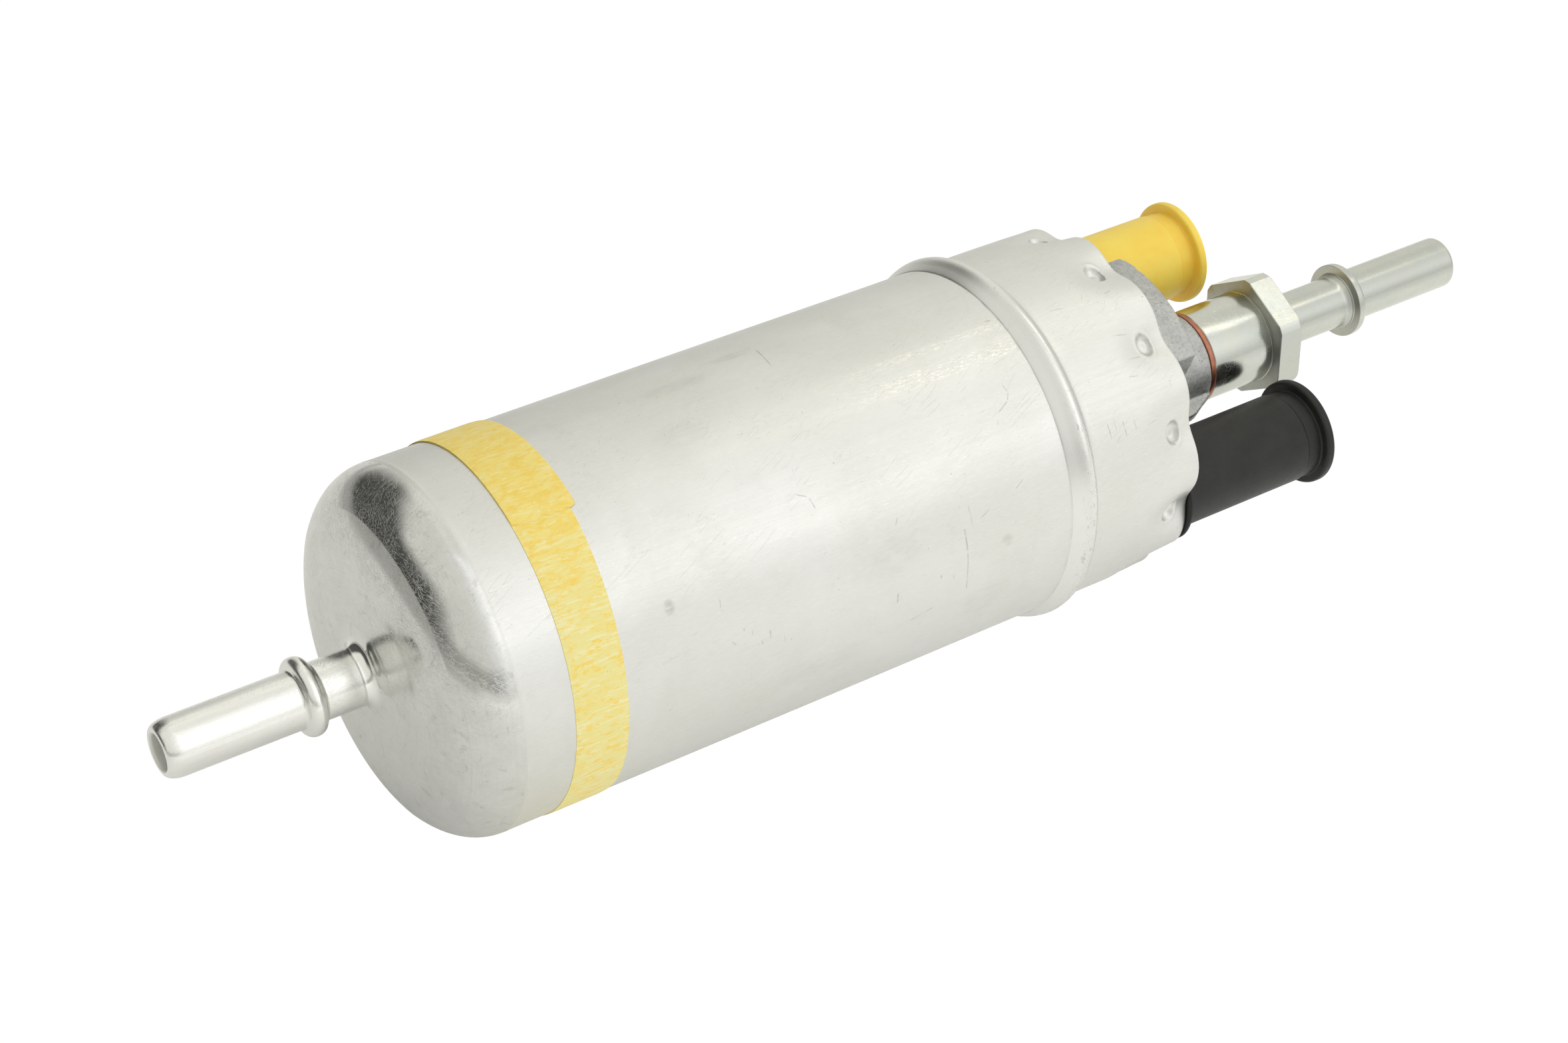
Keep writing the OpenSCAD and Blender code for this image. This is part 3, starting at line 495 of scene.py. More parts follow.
    # painted shade in the groove beside the bead, broken up round the can and stronger on the +Y side
    painted_groove_shade = m.mul(m.remap(m.x, 35.72, 35.88, 0, 1, True), m.remap(m.x, 36.14, 35.98, 0, 1, True))
    painted_groove_shade = m.mul(painted_groove_shade, m.remap(m.noise(m.polar(0.0, 5.0, 0.3), 1.0, 3, 0.6), 0.40, 0.58, 0.05, 1.0))
    col = m.mix(m.mul(painted_groove_shade, m.remap(m.y, -18, 0, 0.12, 0.50)), col, (0.25, 0.25, 0.25))
    # the ramp of the bead is painted lighter: a painted highlight
    col = m.mix(m.mul(ramp, 0.6), col, (0.88, 0.88, 0.86))
    scuffed = m.mul(bead, m.remap(m.noise(m.scaled(2.2, 1.0, 1.0), 1.0, 4, 0.75), 0.56, 0.66, 0, 1, True), m.remap(m.y, -16, -24, 0, 1, True))
    col = m.mix(m.mul(scuffed, 0.6), col, (0.44, 0.44, 0.42))
    # stains on the domed end
    stain = m.mul(m.remap(m.noise(m.scaled(1, 1, 1, loc=(5, 11, 2)), 0.42, 6, 0.78, 0.9), 0.565, 0.68), m.math("MAXIMUM", dome, face), m.math("SUBTRACT", 1.0, tube))
    col = m.mix(m.mul(stain, 0.50), col, (0.45, 0.44, 0.41))

    rough_body = m.add(0.34, m.mul(m.remap(streak, 0.3, 0.8), 0.07), m.mul(m.remap(broad, 0.3, 0.7), 0.06), m.mul(m.remap(smudge, 0.3, 0.7), 0.05))
    rough_dome = m.add(0.085, m.mul(m.remap(patchy, 0.45, 0.72), 0.12), m.mul(hairs, 0.12), m.mul(m.remap(rings, 0.4, 0.8), 0.04))
    rough_tube = m.add(0.13, m.mul(m.remap(fine, 0.35, 0.8), 0.14))
    rough = m.lerp(dome, rough_body, rough_dome)
    rough = m.lerp(face, rough, m.add(0.155, m.mul(m.remap(rings, 0.35, 0.8), 0.10), m.mul(m.remap(patchy, 0.42, 0.7), 0.08), m.mul(hairs, 0.10)))
    rough = m.lerp(tube, rough, rough_tube)
    bore = m.mul(m.remap(r, 2.85, 2.65, 0, 1, True), m.remap(m.x, -70, -74, 0, 1, True))
    rough = m.lerp(bore, rough, 0.75)
    rough = m.lerp(fillet, rough, m.add(0.055, m.mul(m.remap(fine, 0.35, 0.8), 0.05)))
    rough = m.lerp(rim, rough, m.add(0.40, m.mul(m.remap(streak, 0.3, 0.8), 0.10)))
    rough = m.lerp(ramp, rough, m.add(0.33, m.mul(m.remap(grain, 0.4, 0.8), 0.08)))
    rough = m.lerp(bead, rough, m.add(0.25, m.mul(m.remap(grain, 0.4, 0.8), 0.10), m.mul(scuffed, 0.3)))
    rough = m.math("SUBTRACT", m.add(rough, m.mul(soil, 0.10)), m.add(m.mul(fleck, 0.05), m.mul(sparkle_lit, 0.08)))
    rough = m.math("MAXIMUM", rough, 0.05)

    body_h = m.add(m.mul(streak, 0.30), m.mul(fine, 0.15), m.mul(silk, 0.75), m.mul(grain, 0.55), m.mul(rub, -0.9), m.mul(dark, -0.9), m.mul(sparkle_lit, 1.0))
    dome_h = m.add(m.mul(rings, 0.16), m.mul(ring_fine, 0.05), m.mul(hairs, -0.55), m.mul(grain, 0.03), m.mul(fine, 0.04))
    tube_h = m.add(m.mul(fine, 0.6), m.mul(streak, 0.7), m.mul(hairs, -0.4))
    h = m.lerp(dome, body_h, dome_h)
    h = m.lerp(tube, h, tube_h)
    h = m.lerp(fillet, h, m.mul(fine, 0.25))
    n1 = m.bump(m.add(h, m.mul(nicks, -1.2)), 0.010, 1.0)
    n2 = m.bump(swell, 0.10, 1.0, n1)
    return m.set(color=col, rough=rough, metal=1.0, normal=n2)


def crepe_tape():
    m = Mat("paper_tape_crepe")
    # crepe lines run across the band, along the can
    crepe = m.noise(m.scaled(0.22, 2.6, 2.6), 1.0, 4, 0.62, 0.2)
    crepe_f = m.noise(m.scaled(0.7, 7.0, 7.0, loc=(2, 5, 1)), 1.0, 3, 0.65)
    blotch = m.noise(m.scaled(0.30, 0.55, 0.55), 1.0, 4, 0.65, 0.3)
    n1 = m.noise(m.scaled(0.46, 1.15, 1.15, loc=(4, 2, 9)), 1.0, 5, 0.68, 0.35)
    n2 = m.noise(m.scaled(0.90, 3.6, 3.6, loc=(1, 7, 5)), 1.0, 3, 0.7, 0.2)
    glue = m.add(m.mul(n1, 0.62), m.mul(n2, 0.38))
    # more glue shows on the upper side, where the band lies double
    up = m.remap(m.z, 14, 25.2, 0.0, 1.0, True)
    base = m.mix(up, (0.87, 0.785, 0.325), (0.945, 0.765, 0.22))
    col = m.mix(m.mul(m.remap(blotch, 0.42, 0.62, 0, 1, True), 0.55), base, (0.91, 0.75, 0.24))
    col = m.mix(m.mul(m.remap(crepe, 0.50, 0.62, 0, 1, True), m.math("SUBTRACT", 0.72, m.mul(up, 0.25))), col, (0.92, 0.87, 0.53))
    col = m.mix(m.mul(m.remap(m.add(glue, m.mul(up, 0.05)), 0.505, 0.585, 0, 1, True), 0.95), col, (0.94, 0.70, 0.150))
    col = m.mix(m.mul(m.remap(m.add(glue, m.mul(up, 0.03)), 0.585, 0.65, 0, 1, True), 0.55), col, (0.93, 0.62, 0.095))
    col = m.mix(m.mul(m.remap(crepe_f, 0.57, 0.70, 0, 1, True), 0.50), col, (0.935, 0.895, 0.62))
    speck = m.remap(m.cells(m.p, 0.42), 0.022, 0.04, 1, 0, True)
    col = m.mix(m.mul(speck, 0.7), col, (0.36, 0.27, 0.10))
    h = m.add(m.mul(crepe, 1.0), m.mul(crepe_f, 0.7), m.mul(glue, 0.3))
    return m.set(color=col, rough=m.remap(crepe, 0.3, 0.7, 0.40, 0.58), metal=0.0, normal=m.bump(h, 0.055, 0.9), spec=0.35, sub=0.06, sub_radius=(0.6, 0.4, 0.2), sub_scale=0.0006)


def cast_cover():
    m = Mat("cover_cast")
    lump = m.noise(m.p, 0.5, 4, 0.6)
    cloud = m.noise(m.scaled(1, 1, 1, loc=(5, 2, 8)), 0.18, 3, 0.6, 0.4)
    grain = m.noise(m.p, 1.9, 5, 0.75)
    pit = m.remap(m.cells(m.p, 1.1), 0.06, 0.20, 1, 0, True)
    spark = m.remap(m.noise(m.p, 3.0, 3, 0.65), 0.63, 0.70, 0, 1, True)
    glint = m.mul(spark, m.remap(m.noise(m.scaled(1, 1, 1, loc=(9, 4, 3)), 0.30, 3, 0.6), 0.46, 0.58, 0.15, 1.0))
    hair = scratches(m, (0.3, 0.8, 0.4), 0.12, 1.8, 0.010, 0.46)
    col = m.mix(m.remap(lump, 0.3, 0.7), (0.36, 0.365, 0.36), (0.50, 0.505, 0.49))
    col = m.mix(m.mul(m.remap(cloud, 0.4, 0.65), 0.6), col, (0.52, 0.525, 0.51))
    col = m.mix(m.mul(m.remap(grain, 0.42, 0.70), 0.60), col, (0.64, 0.645, 0.63))
    col = m.mix(m.mul(m.remap(grain, 0.46, 0.34), 0.45), col, (0.30, 0.305, 0.30))
    col = m.mix(m.mul(pit, 0.5), col, (0.22, 0.22, 0.21))
    col = m.mix(m.mul(hair, 0.3), col, (0.62, 0.62, 0.60))
    col = m.mix(m.mul(glint, 0.9), col, (0.86, 0.84, 0.78))
    rough = m.math("SUBTRACT", m.add(0.48, m.mul(m.remap(grain, 0.3, 0.8), 0.14)), m.mul(glint, 0.26))
    h = m.add(m.mul(grain, 0.9), m.mul(lump, 1.2), m.mul(pit, -0.7), m.mul(hair, -0.3))
    return m.set(color=col, rough=rough, metal=0.88, normal=m.bump(h, 0.045, 0.9))


def plated_steel(name, oy=0.0, oz=0.0, turned=1.0, rough0=0.15, relief=0.0045, streak=0.0, lee_at=(149, 0.90, 0.995), back=None, tone=1.0):
    m = Mat(name)
    turn = m.noise(m.polar(0.0, 0.6, 7.0, oy, oz), 1.0, 3, 0.6)
    turn_f = m.noise(m.polar(0.0, 0.9, 24.0, oy, oz), 1.0, 2, 0.6)
    face_turn = m.noise(m.polar(9.0, 0.6, 0.0, oy, oz), 1.0, 3, 0.6)
    cloud = m.noise(m.p, 0.30, 4, 0.6, 0.5)
    patch = m.noise(m.scaled(1, 1, 1, loc=(7, 3, 1)), 0.8, 5, 0.72, 0.5)
    tiny = m.noise(m.p, 3.2, 2, 0.5)
    speck = m.remap(m.noise(m.p, 3.8, 3, 0.7), 0.67, 0.76, 0, 1, True)
    hair = m.math("MAXIMUM", scratches(m, (0.5, 0.7, 0.9), 0.20, 2.6, 0.014, 0.48), scratches(m, (-0.8, 0.2, 0.3), 0.22, 2.4, 0.012, 0.48, (4, 9, 2)))
    col = m.mix(m.remap(cloud, 0.35, 0.65), tuple(c * tone for c in (0.66, 0.69, 0.65)), tuple(c * tone for c in (0.73, 0.73, 0.65)))
    col = m.mix(m.mul(m.remap(patch, 0.5, 0.72), 0.45), col, (0.60, 0.635, 0.63))
    col = m.mix(m.mul(m.remap(tiny, 0.55, 0.75), 0.22), col, (0.78, 0.79, 0.75))
    col = m.mix(m.mul(speck, 0.30), col, (0.44, 0.43, 0.39))
    col = m.mix(m.mul(hair, 0.35), col, (0.88, 0.88, 0.84))
    rough = m.add(rough0, m.mul(m.remap(turn, 0.3, 0.8), 0.04), m.mul(m.remap(patch, 0.4, 0.75), 0.07), m.mul(speck, 0.06), m.mul(hair, 0.08))
    if streak:
        # one long darker streak: a stand-in for a reflection seen there in the photograph
        r = m.math("MAXIMUM", m.radius(oy, oz), 0.05)
        q = math.radians(lee_at[0])
        lee = m.math("DIVIDE", m.add(m.mul(m.y, math.cos(q)), m.mul(m.z, math.sin(q))), r)
        lee = m.mul(m.remap(lee, lee_at[1], lee_at[2], 0, 1, True), m.remap(cloud, 0.3, 0.6, 0.8, 1.0))
        col = m.mix(m.mul(lee, streak), col, (0.44, 0.46, 0.43))
    if name.startswith("tube"):
        # the collar's inner side is matt in the photograph
        rough = m.add(rough, m.mul(m.remap(m.x, 107.2, 107.8, 0, 1, True), m.remap(m.x, 108.75, 108.6, 0, 1, True), 0.22))
    if back is not None:
        # the side towards the pump is darker and more matt in the photograph: it is made more matt, and its darker
        # colour is painted shade
        matt_and_painted_shade = m.remap(m.x, back + 0.3, back + 0.1, 0, 1, True)
        rough = m.add(rough, m.mul(matt_and_painted_shade, 0.24))
        col = m.mix(m.mul(matt_and_painted_shade, 0.40), col, (0.46, 0.465, 0.43))
    h = m.add(m.mul(turn, 0.8 * turned), m.mul(turn_f, 0.25 * turned), m.mul(face_turn, 0.4 * turned), m.mul(patch, 0.12), m.mul(tiny, 0.12), m.mul(hair, -0.6))
    return m.set(color=col, rough=rough, metal=1.0, normal=m.bump(h, relief, 1.0))


def copper():
    m = Mat("washer_copper")
    c = m.noise(m.p, 0.9, 4, 0.7)
    f = m.noise(m.polar(3, 1.5, 9), 1.0, 3, 0.6)
    col = m.mix(m.remap(c, 0.35, 0.7), (0.56, 0.235, 0.15), (0.38, 0.155, 0.10))
    return m.set(color=col, rough=m.remap(f, 0.3, 0.8, 0.28, 0.46), metal=1.0, normal=m.bump(f, 0.02, 0.8))


def soft_cap(name, dark, light, deep, rough0, oy, oz, sub=0.0, spec=0.4, scuffed=0.25):
    m = Mat(name)
    along = m.noise(m.scaled(0.08, 3.0, 3.0), 1.0, 3, 0.5)
    cloud = m.noise(m.p, 0.22, 4, 0.6)
    orange = m.noise(m.p, 2.4, 3, 0.55)
    fine = m.noise(m.p, 7.5, 2, 0.5)
    scuff = m.remap(m.noise(m.turned((0.2, 0.4, 0.3), 0.5, 6, 6), 1.0, 3, 0.6), 0.66, 0.76, 0, 1, True)
    dot = m.remap(m.cells(m.p, 0.55), 0.030, 0.055, 1, 0, True)
    r = m.radius(oy, oz)
    # the recessed neck by the flange is darkened towards the colour deep: painted shade
    painted_groove_shade = m.remap(r, 6.75, 6.60, 0, 1, True)
    col = m.mix(m.remap(cloud, 0.35, 0.65), dark, light)
    col = m.mix(m.mul(scuff, scuffed), col, tuple(min(1.0, c * 1.35 + 0.05) for c in light))
    col = m.mix(m.mul(dot, scuffed), col, tuple(min(1.0, c * 1.5 + 0.12) for c in light))
    col = m.mix(m.mul(painted_groove_shade, 0.22), col, deep)
    rough = m.add(rough0, m.mul(m.remap(orange, 0.3, 0.7), 0.08), m.mul(scuff, 0.1))
    h = m.add(m.mul(orange, 0.5), m.mul(fine, 0.25), m.mul(along, 0.8))
    return m.set(color=col, rough=rough, metal=0.0, normal=m.bump(h, 0.022, 0.8), spec=spec, sub=sub, sub_radius=(1.0, 0.6, 0.25), sub_scale=0.0012)


def simple_metal(name, c0, c1, rough=0.35, scale=0.8, bump=0.02, metal=1.0, axis_marks=True):
    m = Mat(name)
    n = m.noise(m.p, scale, 5, 0.65)
    t = m.noise(m.polar(4, 1.2, 7), 1.0, 3, 0.6) if axis_marks else m.noise(m.p, 3.0, 4, 0.7)
    s = m.remap(m.noise(m.p, 4.0, 2, 0.6), 0.64, 0.76, 0, 1, True)
    col = m.mix(m.remap(n, 0.35, 0.65), c0, c1)
    col = m.mix(m.mul(s, 0.3), col, tuple(c * 0.55 for c in c0))
    return m.set(color=col, rough=m.add(rough - 0.05, m.mul(m.remap(t, 0.3, 0.8), 0.14)), metal=metal, normal=m.bump(m.add(m.mul(t, 0.7), m.mul(n, 0.4)), bump, 0.8))


def simple_plastic(name, c0, c1, rough=0.5, bump=0.02):
    m = Mat(name)
    n = m.noise(m.p, 0.7, 4, 0.6)
    f = m.noise(m.p, 3.6, 3, 0.6)
    col = m.mix(m.remap(n, 0.35, 0.65), c0, c1)
    return m.set(color=col, rough=m.remap(f, 0.3, 0.7, rough - 0.06, rough + 0.08), metal=0.0, normal=m.bump(m.add(f, m.mul(n, 0.5)), bump, 0.8), spec=0.4)


def wound_wire(name, c0, c1):
    m = Mat(name)
    w = m.t.nodes.new("ShaderNodeTexWave")
    m.t.links.new(m.scaled(1, 1, 1, rot=(0, 0, 0.35)), w.inputs["Vector"])
    w.wave_type = "BANDS"
    w.bands_direction = "Y"
    w.inputs["Scale"].default_value = 0.55
    w.inputs["Distortion"].default_value = 1.2
    w.inputs["Detail"].default_value = 2
    n = m.noise(m.p, 1.2, 3, 0.6)
    col = m.mix(w.outputs["Fac"], c0, c1)
    return m.set(color=col, rough=m.remap(n, 0.3, 0.7, 0.25, 0.45), metal=0.85, normal=m.bump(w.outputs["Fac"], 0.08, 0.9))


M_CAN = aluminium_can()
M_TAPE = crepe_tape()
M_COVER = cast_cover()
M_FIT = plated_steel("fitting_plated", streak=0.50, tone=0.93)
M_HEX = plated_steel("hexagon_plated", turned=0.3, rough0=0.20, relief=0.004, streak=0.45, lee_at=(178, 0.83, 0.88), back=89.6, tone=0.97)
M_TUBE = plated_steel("tube_plated", rough0=0.20, relief=0.0035, streak=0.60, lee_at=(150, 0.86, 0.99), tone=0.89)
M_COPPER = copper()

TA = math.radians(21.8)
TR = 18.28
CY, CZ = TR * math.cos(TA), TR * math.sin(TA)
# the third colour of each cap is the painted shade in the neck by the flange
M_YELLOW = soft_cap("cap_yellow_soft", (1.0, 0.675, 0.085), (1.0, 0.745, 0.125), (0.90, 0.50, 0.03), 0.40, CY, CZ, sub=0.35, spec=0.42, scuffed=0.12)
M_BLACK = soft_cap("cap_black_soft", (0.012, 0.012, 0.011), (0.019, 0.019, 0.0175), (0.007, 0.007, 0.007), 0.42, -CY, -CZ, spec=0.33, scuffed=0.16)

# ------------------------------------------------------------------ the can, outside and the part of its inside that can be seen

R0, RB = 26.0, 4.0
FACE, AX, RAD = -60.4, 9.4, 12.81


def nipple_profile():
    tip = path(
        line(-74.0, 2.5, -89.05, 2.5, 4),
        arc(-89.15, 2.92, 0.45, 0.42, -90, -180, 6),
        [(-89.6, 2.99)],
        arc(-87.25, 3.0, 2.35, 1.0, 178, 90, 14),
        line(-87.2, 4.0, -70.95, 4.0, 8),
    )
    bead = np.array([(-70.75, 4.02), (-70.58, 4.12), (-70.48, 4.32), (-70.40, 4.65), (-70.26, 4.98), (-70.05, 5.20), (-69.78, 5.36), (-69.45, 5.44), (-69.15, 5.45),
                     (-68.85, 5.41), (-68.55, 5.30), (-68.28, 5.12), (-68.08, 4.85), (-67.95, 4.50), (-67.84, 4.22), (-67.70, 4.06), (-67.50, 4.0)])
    neck = path(line(-67.4, 4.0, -62.45, 4.0, 6), [(-62.38, 4.01), (-62.30, 4.0), (-62.2, 4.0), (-61.95, 4.02), (-61.65, 4.10), (-61.35, 4.24), (-61.08, 4.46), (-60.84, 4.75), (-60.66, 5.10), (-60.53, 5.5), (-60.45, 5.95), (-60.41, 6.4)])
    face = path([(-60.40, 6.8), (-60.385, 7.1), (-60.37, 7.3), (-60.385, 7.5), (-60.40, 7.8)], line(FACE, 8.4, FACE, R0 - RAD, 8))
    # a slight edge where the corner of the domed end begins
    deg = np.unique(np.concatenate([np.linspace(0, 90, 46), 43.7 + np.array([-3, -1.6, -0.8, -0.35, -0.12, 0, 0.12, 0.35, 0.8, 1.6, 3])]))
    t = np.radians(deg)
    X, R = FACE + AX - AX * np.cos(t), R0 - RAD + RAD * np.sin(t)
    nx, nr = -np.cos(t) / AX, np.sin(t) / RAD
    k = np.hypot(nx, nr)
    away = np.abs(np.radians(deg - 43.7)) * 11.0
    lift = 0.075 * np.exp(-np.sqrt(away**2 + 0.03**2) / 1.6) * step(deg, 4, 20) * (1 - step(deg, 70, 86))
    dome = np.stack([X + nx / k * lift, R + nr / k * lift], -1)
    return path(tip, bead, neck, face, dome)


def body_profile():
    x0 = FACE + AX
    ridge = np.array([(35.60, 26.0), (35.82, 26.0), (35.90, 25.99), (35.96, 26.01), (36.01, 26.07), (36.09, 26.125), (36.25, 26.20), (36.6, 26.36), (37.1, 26.56), (37.5, 26.74),
                      (37.9, 26.95), (38.2, 27.08), (38.5, 27.18), (38.8, 27.24), (39.05, 27.25), (39.3, 27.20), (39.55, 27.08), (39.78, 26.88), (39.98, 26.62), (40.15, 26.38),
                      (40.32, 26.18), (40.52, 26.06), (40.8, 26.0)])
    # the die left a faint raised line where the domed end runs into the body
    lip = [(x0 + 0.15, R0 + 0.012), (x0 + 0.32, R0 + 0.030), (x0 + 0.5, R0 + 0.012), (x0 + 0.75, R0)]
    return path([(x0, R0)], lip, line(x0 + 1.2, R0, -44, R0, 3), line(-40, R0, 35.4, R0, 20), ridge, line(41.4, R0, 48.0, R0, 4))


def slight(X, R, A):
    # the can is a little out of round and the domed end a little uneven, as drawn cans are
    w = step(X, -60, -48) * (1 - step(X, 34, 36))
    R = R + 0.02 * w * (wob(A, 3, 2, 5) + 0.6 * np.sin(X / 11.0 + 2 * A))
    g = step(X, 35.9, 37.5) * (1 - step(X, 40.0, 40.7))
    R = R + 0.03 * g * wob(A, 5, 2, 12, 0.5)
    return X, R


front = revolve("can_shell", path(nipple_profile(), body_profile()), 400, sharp=50, mod=slight)


def rim_surface(X, A, inner=False):
    """Outer radius of the rim at X and angle A: pressed in at each dimple, with a punched bowl."""
    deg = np.degrees(A)
    p = (deg - 11.5 + 15) % 30 - 15
    k = np.round((deg - 11.5 - p) / 30).astype(int) % 12
    g = np.random.default_rng(11)
    dx_k, da_k, dd_k = g.uniform(-0.12, 0.12, 12)[k], g.uniform(-0.15, 0.15, 12)[k], g.uniform(-0.10, 0.10, 12)[k]
    s = np.radians(p) * 26.0 + da_k
    t = np.clip((X - 49.6) / 9.4, 0, 1.1)
    depth = 1.72 * (0.25 * t + 0.75 * t * t * (3 - 2 * np.minimum(t, 1)))
    width = 3.0 + 0.5 * t
    base = R0 - depth * np.exp(-((s / width) ** 2)) - 0.06 * t * (1 - np.cos(np.radians(p) * 12)) * 0.5
    base = base + 0.02 * np.sin(A * 24 + X) * t
    dx = X - (55.35 + dx_k)
    rho = np.sqrt((dx / 1.42) ** 2 + (s / 1.72) ** 2)
    q = np.clip((rho - 0.34) / 0.76, 0, 1)
    bowl = 23.98 + dd_k + 1.75 * (1 - np.sqrt(np.maximum(1 - q * q, 0))) + np.where(rho > 1.1, (rho - 1.1) * 6, 0)
    bowl = bowl + 0.06 * np.exp(-((rho / 0.22) ** 2))
    out = soft_min(base, bowl, 0.10)
    # the metal swells a little in front of the bowl
    out = out + 0.05 * np.exp(-(((rho - 1.28) / 0.16) ** 2)) * (1 - step(X, 56.0, 57.2))
    return out


def rim_mesh():
    n = 1080
    a = np.linspace(0, 2 * np.pi, n, endpoint=False)
    xs = np.concatenate([np.linspace(48.0, 52.0, 9)[:-1], np.linspace(52.0, 53.2, 6)[:-1], np.linspace(53.2, 57.4, 38)[:-1], np.linspace(57.4, 58.86, 8)])
    X = np.repeat(xs[:, None], n, 1)
    A = np.repeat(a[None], len(xs), 0)
    R = rim_surface(X, A)
    edge = 0.05 * wob(a, 21, 3, 20, 0.4)
    X = X + step(X, 57.5, 58.9) * edge[None]
    rows = [np.stack([X, R * np.cos(A), R * np.sin(A)], -1)]
    last_x, last_r = X[-1], R[-1]
    # sheared edge, then the inside back to behind the cover
    for dx, dr in ((0.07, -0.03), (0.12, -0.10), (0.14, -0.20), (0.13, -0.55), (0.12, -0.95), (0.06, -1.08), (-0.05, -1.14)):
        rr = last_r + dr
        rows.append(np.stack([last_x + dx, rr * np.cos(a), rr * np.sin(a)], -1)[None])
    for x in np.linspace(58.2, 52.6, 14):
        rr = rim_surface(np.full(n, x), a) - 1.12
        rows.append(np.stack([np.full(n, x), rr * np.cos(a), rr * np.sin(a)], -1)[None])
    P = np.concatenate(rows)
    return make("can_rim", P.reshape(-1, 3), grid(P), sharp=38)


rim = rim_mesh()
piece(front, "pump", M_CAN, "can_aluminium", "housing_can")
piece(rim, "pump", M_CAN, "can_aluminium", "housing_can")

# ------------------------------------------------------------------ paper band


def tape(name, x0, x1, r, a0, a1, lift=0.0, seed=1, full=False, torn=False):
    n = 420 if full else 160
    a = np.linspace(a0, a1, n, endpoint=not full)
    m = 12
    left = x0(a) + 0.035 * wob(a, seed, 5, 60, 0.5)
    right = x1(a) + 0.035 * wob(a, seed + 1, 5, 60, 0.5)
    rows = []
    # pressed down flat at a torn end
    thick = 0.12 * (1 - 0.9 * step(a, a1 - 0.05, a1)) if torn else 0.12
    for k in range(m + 1):
        u = k / m
        rad = r + thick * (1 - 0.5 * (abs(2 * u - 1) ** 12)) + 0.012 * np.sin(a * 90 + u * 5) * (1 if 0 < k < m else 0)
        rows.append(np.stack([left + (right - left) * u, rad * np.cos(a), rad * np.sin(a)], -1))
    rows = [np.stack([left, r * np.cos(a), r * np.sin(a)], -1)] + rows + [np.stack([right, r * np.cos(a), r * np.sin(a)], -1)]
    P = np.array(rows)
    if torn:
        # ragged end
        end = P[:, -1].copy()
        jag = 0.45 * np.array([0, 0, 0.2, 0.9, 0.4, 1.3, 0.7, 0.2, 1.1, 0.5, 1.4, 0.6, 0.9, 0.1, 0.1])[: len(P)]
        ang = jag / 26.0
        for i in range(len(P)):
            y, z = end[i, 1], end[i, 2]
            c, s = math.cos(ang[i]), math.sin(ang[i])
            P[i, -1, 1], P[i, -1, 2] = y * c - z * s, y * s + z * c
    return make(name, P.reshape(-1, 3), grid(P, closed=full), sharp=60)


def left_edge(a):
    return -43.7 + 0.50 * np.cos(a) + 0.50 * np.sin(a) + 0.30 * np.cos(2 * a)


def right_edge(a):
    return -35.55 + 0.22 * np.cos(a) + 0.22 * np.sin(a) - 0.32 * np.cos(2 * a)


band = tape("tape_band_wrap", left_edge, right_edge, 26.015, 0, 2 * math.pi, seed=2, full=True)
T_END = math.radians(116.0)
over = tape("tape_band_end", lambda a: left_edge(a) + 0.05, lambda a: -34.35 + 0.12 * (T_END - a), 26.135, math.radians(14), T_END, seed=6, torn=True)
piece(band, "pump", M_TAPE, "paper_tape", "tape_band")
piece(over, "pump", M_TAPE, "paper_tape", "tape_band")

# ------------------------------------------------------------------ cover


def prism(bm, pts2d, x0, x1):
    """A closed prism: points in (y, z), from x0 to x1."""
    lo = [bm.verts.new((x0, y, z)) for y, z in pts2d]
    hi = [bm.verts.new((x1, y, z)) for y, z in pts2d]
    n = len(lo)
    bm.faces.new(lo[::-1])
    bm.faces.new(hi)
    for i in range(n):
        bm.faces.new((lo[i], lo[(i + 1) % n], hi[(i + 1) % n], hi[i]))


def circle2d(r, n=160, oy=0.0, oz=0.0):
    t = np.linspace(0, 2 * np.pi, n, endpoint=False)
    return [(oy + r * math.cos(q), oz + r * math.sin(q)) for q in t]


def turned2d(pts, a):
    c, s = math.cos(a), math.sin(a)
    return [(y * c - z * s, y * s + z * c) for y, z in pts]


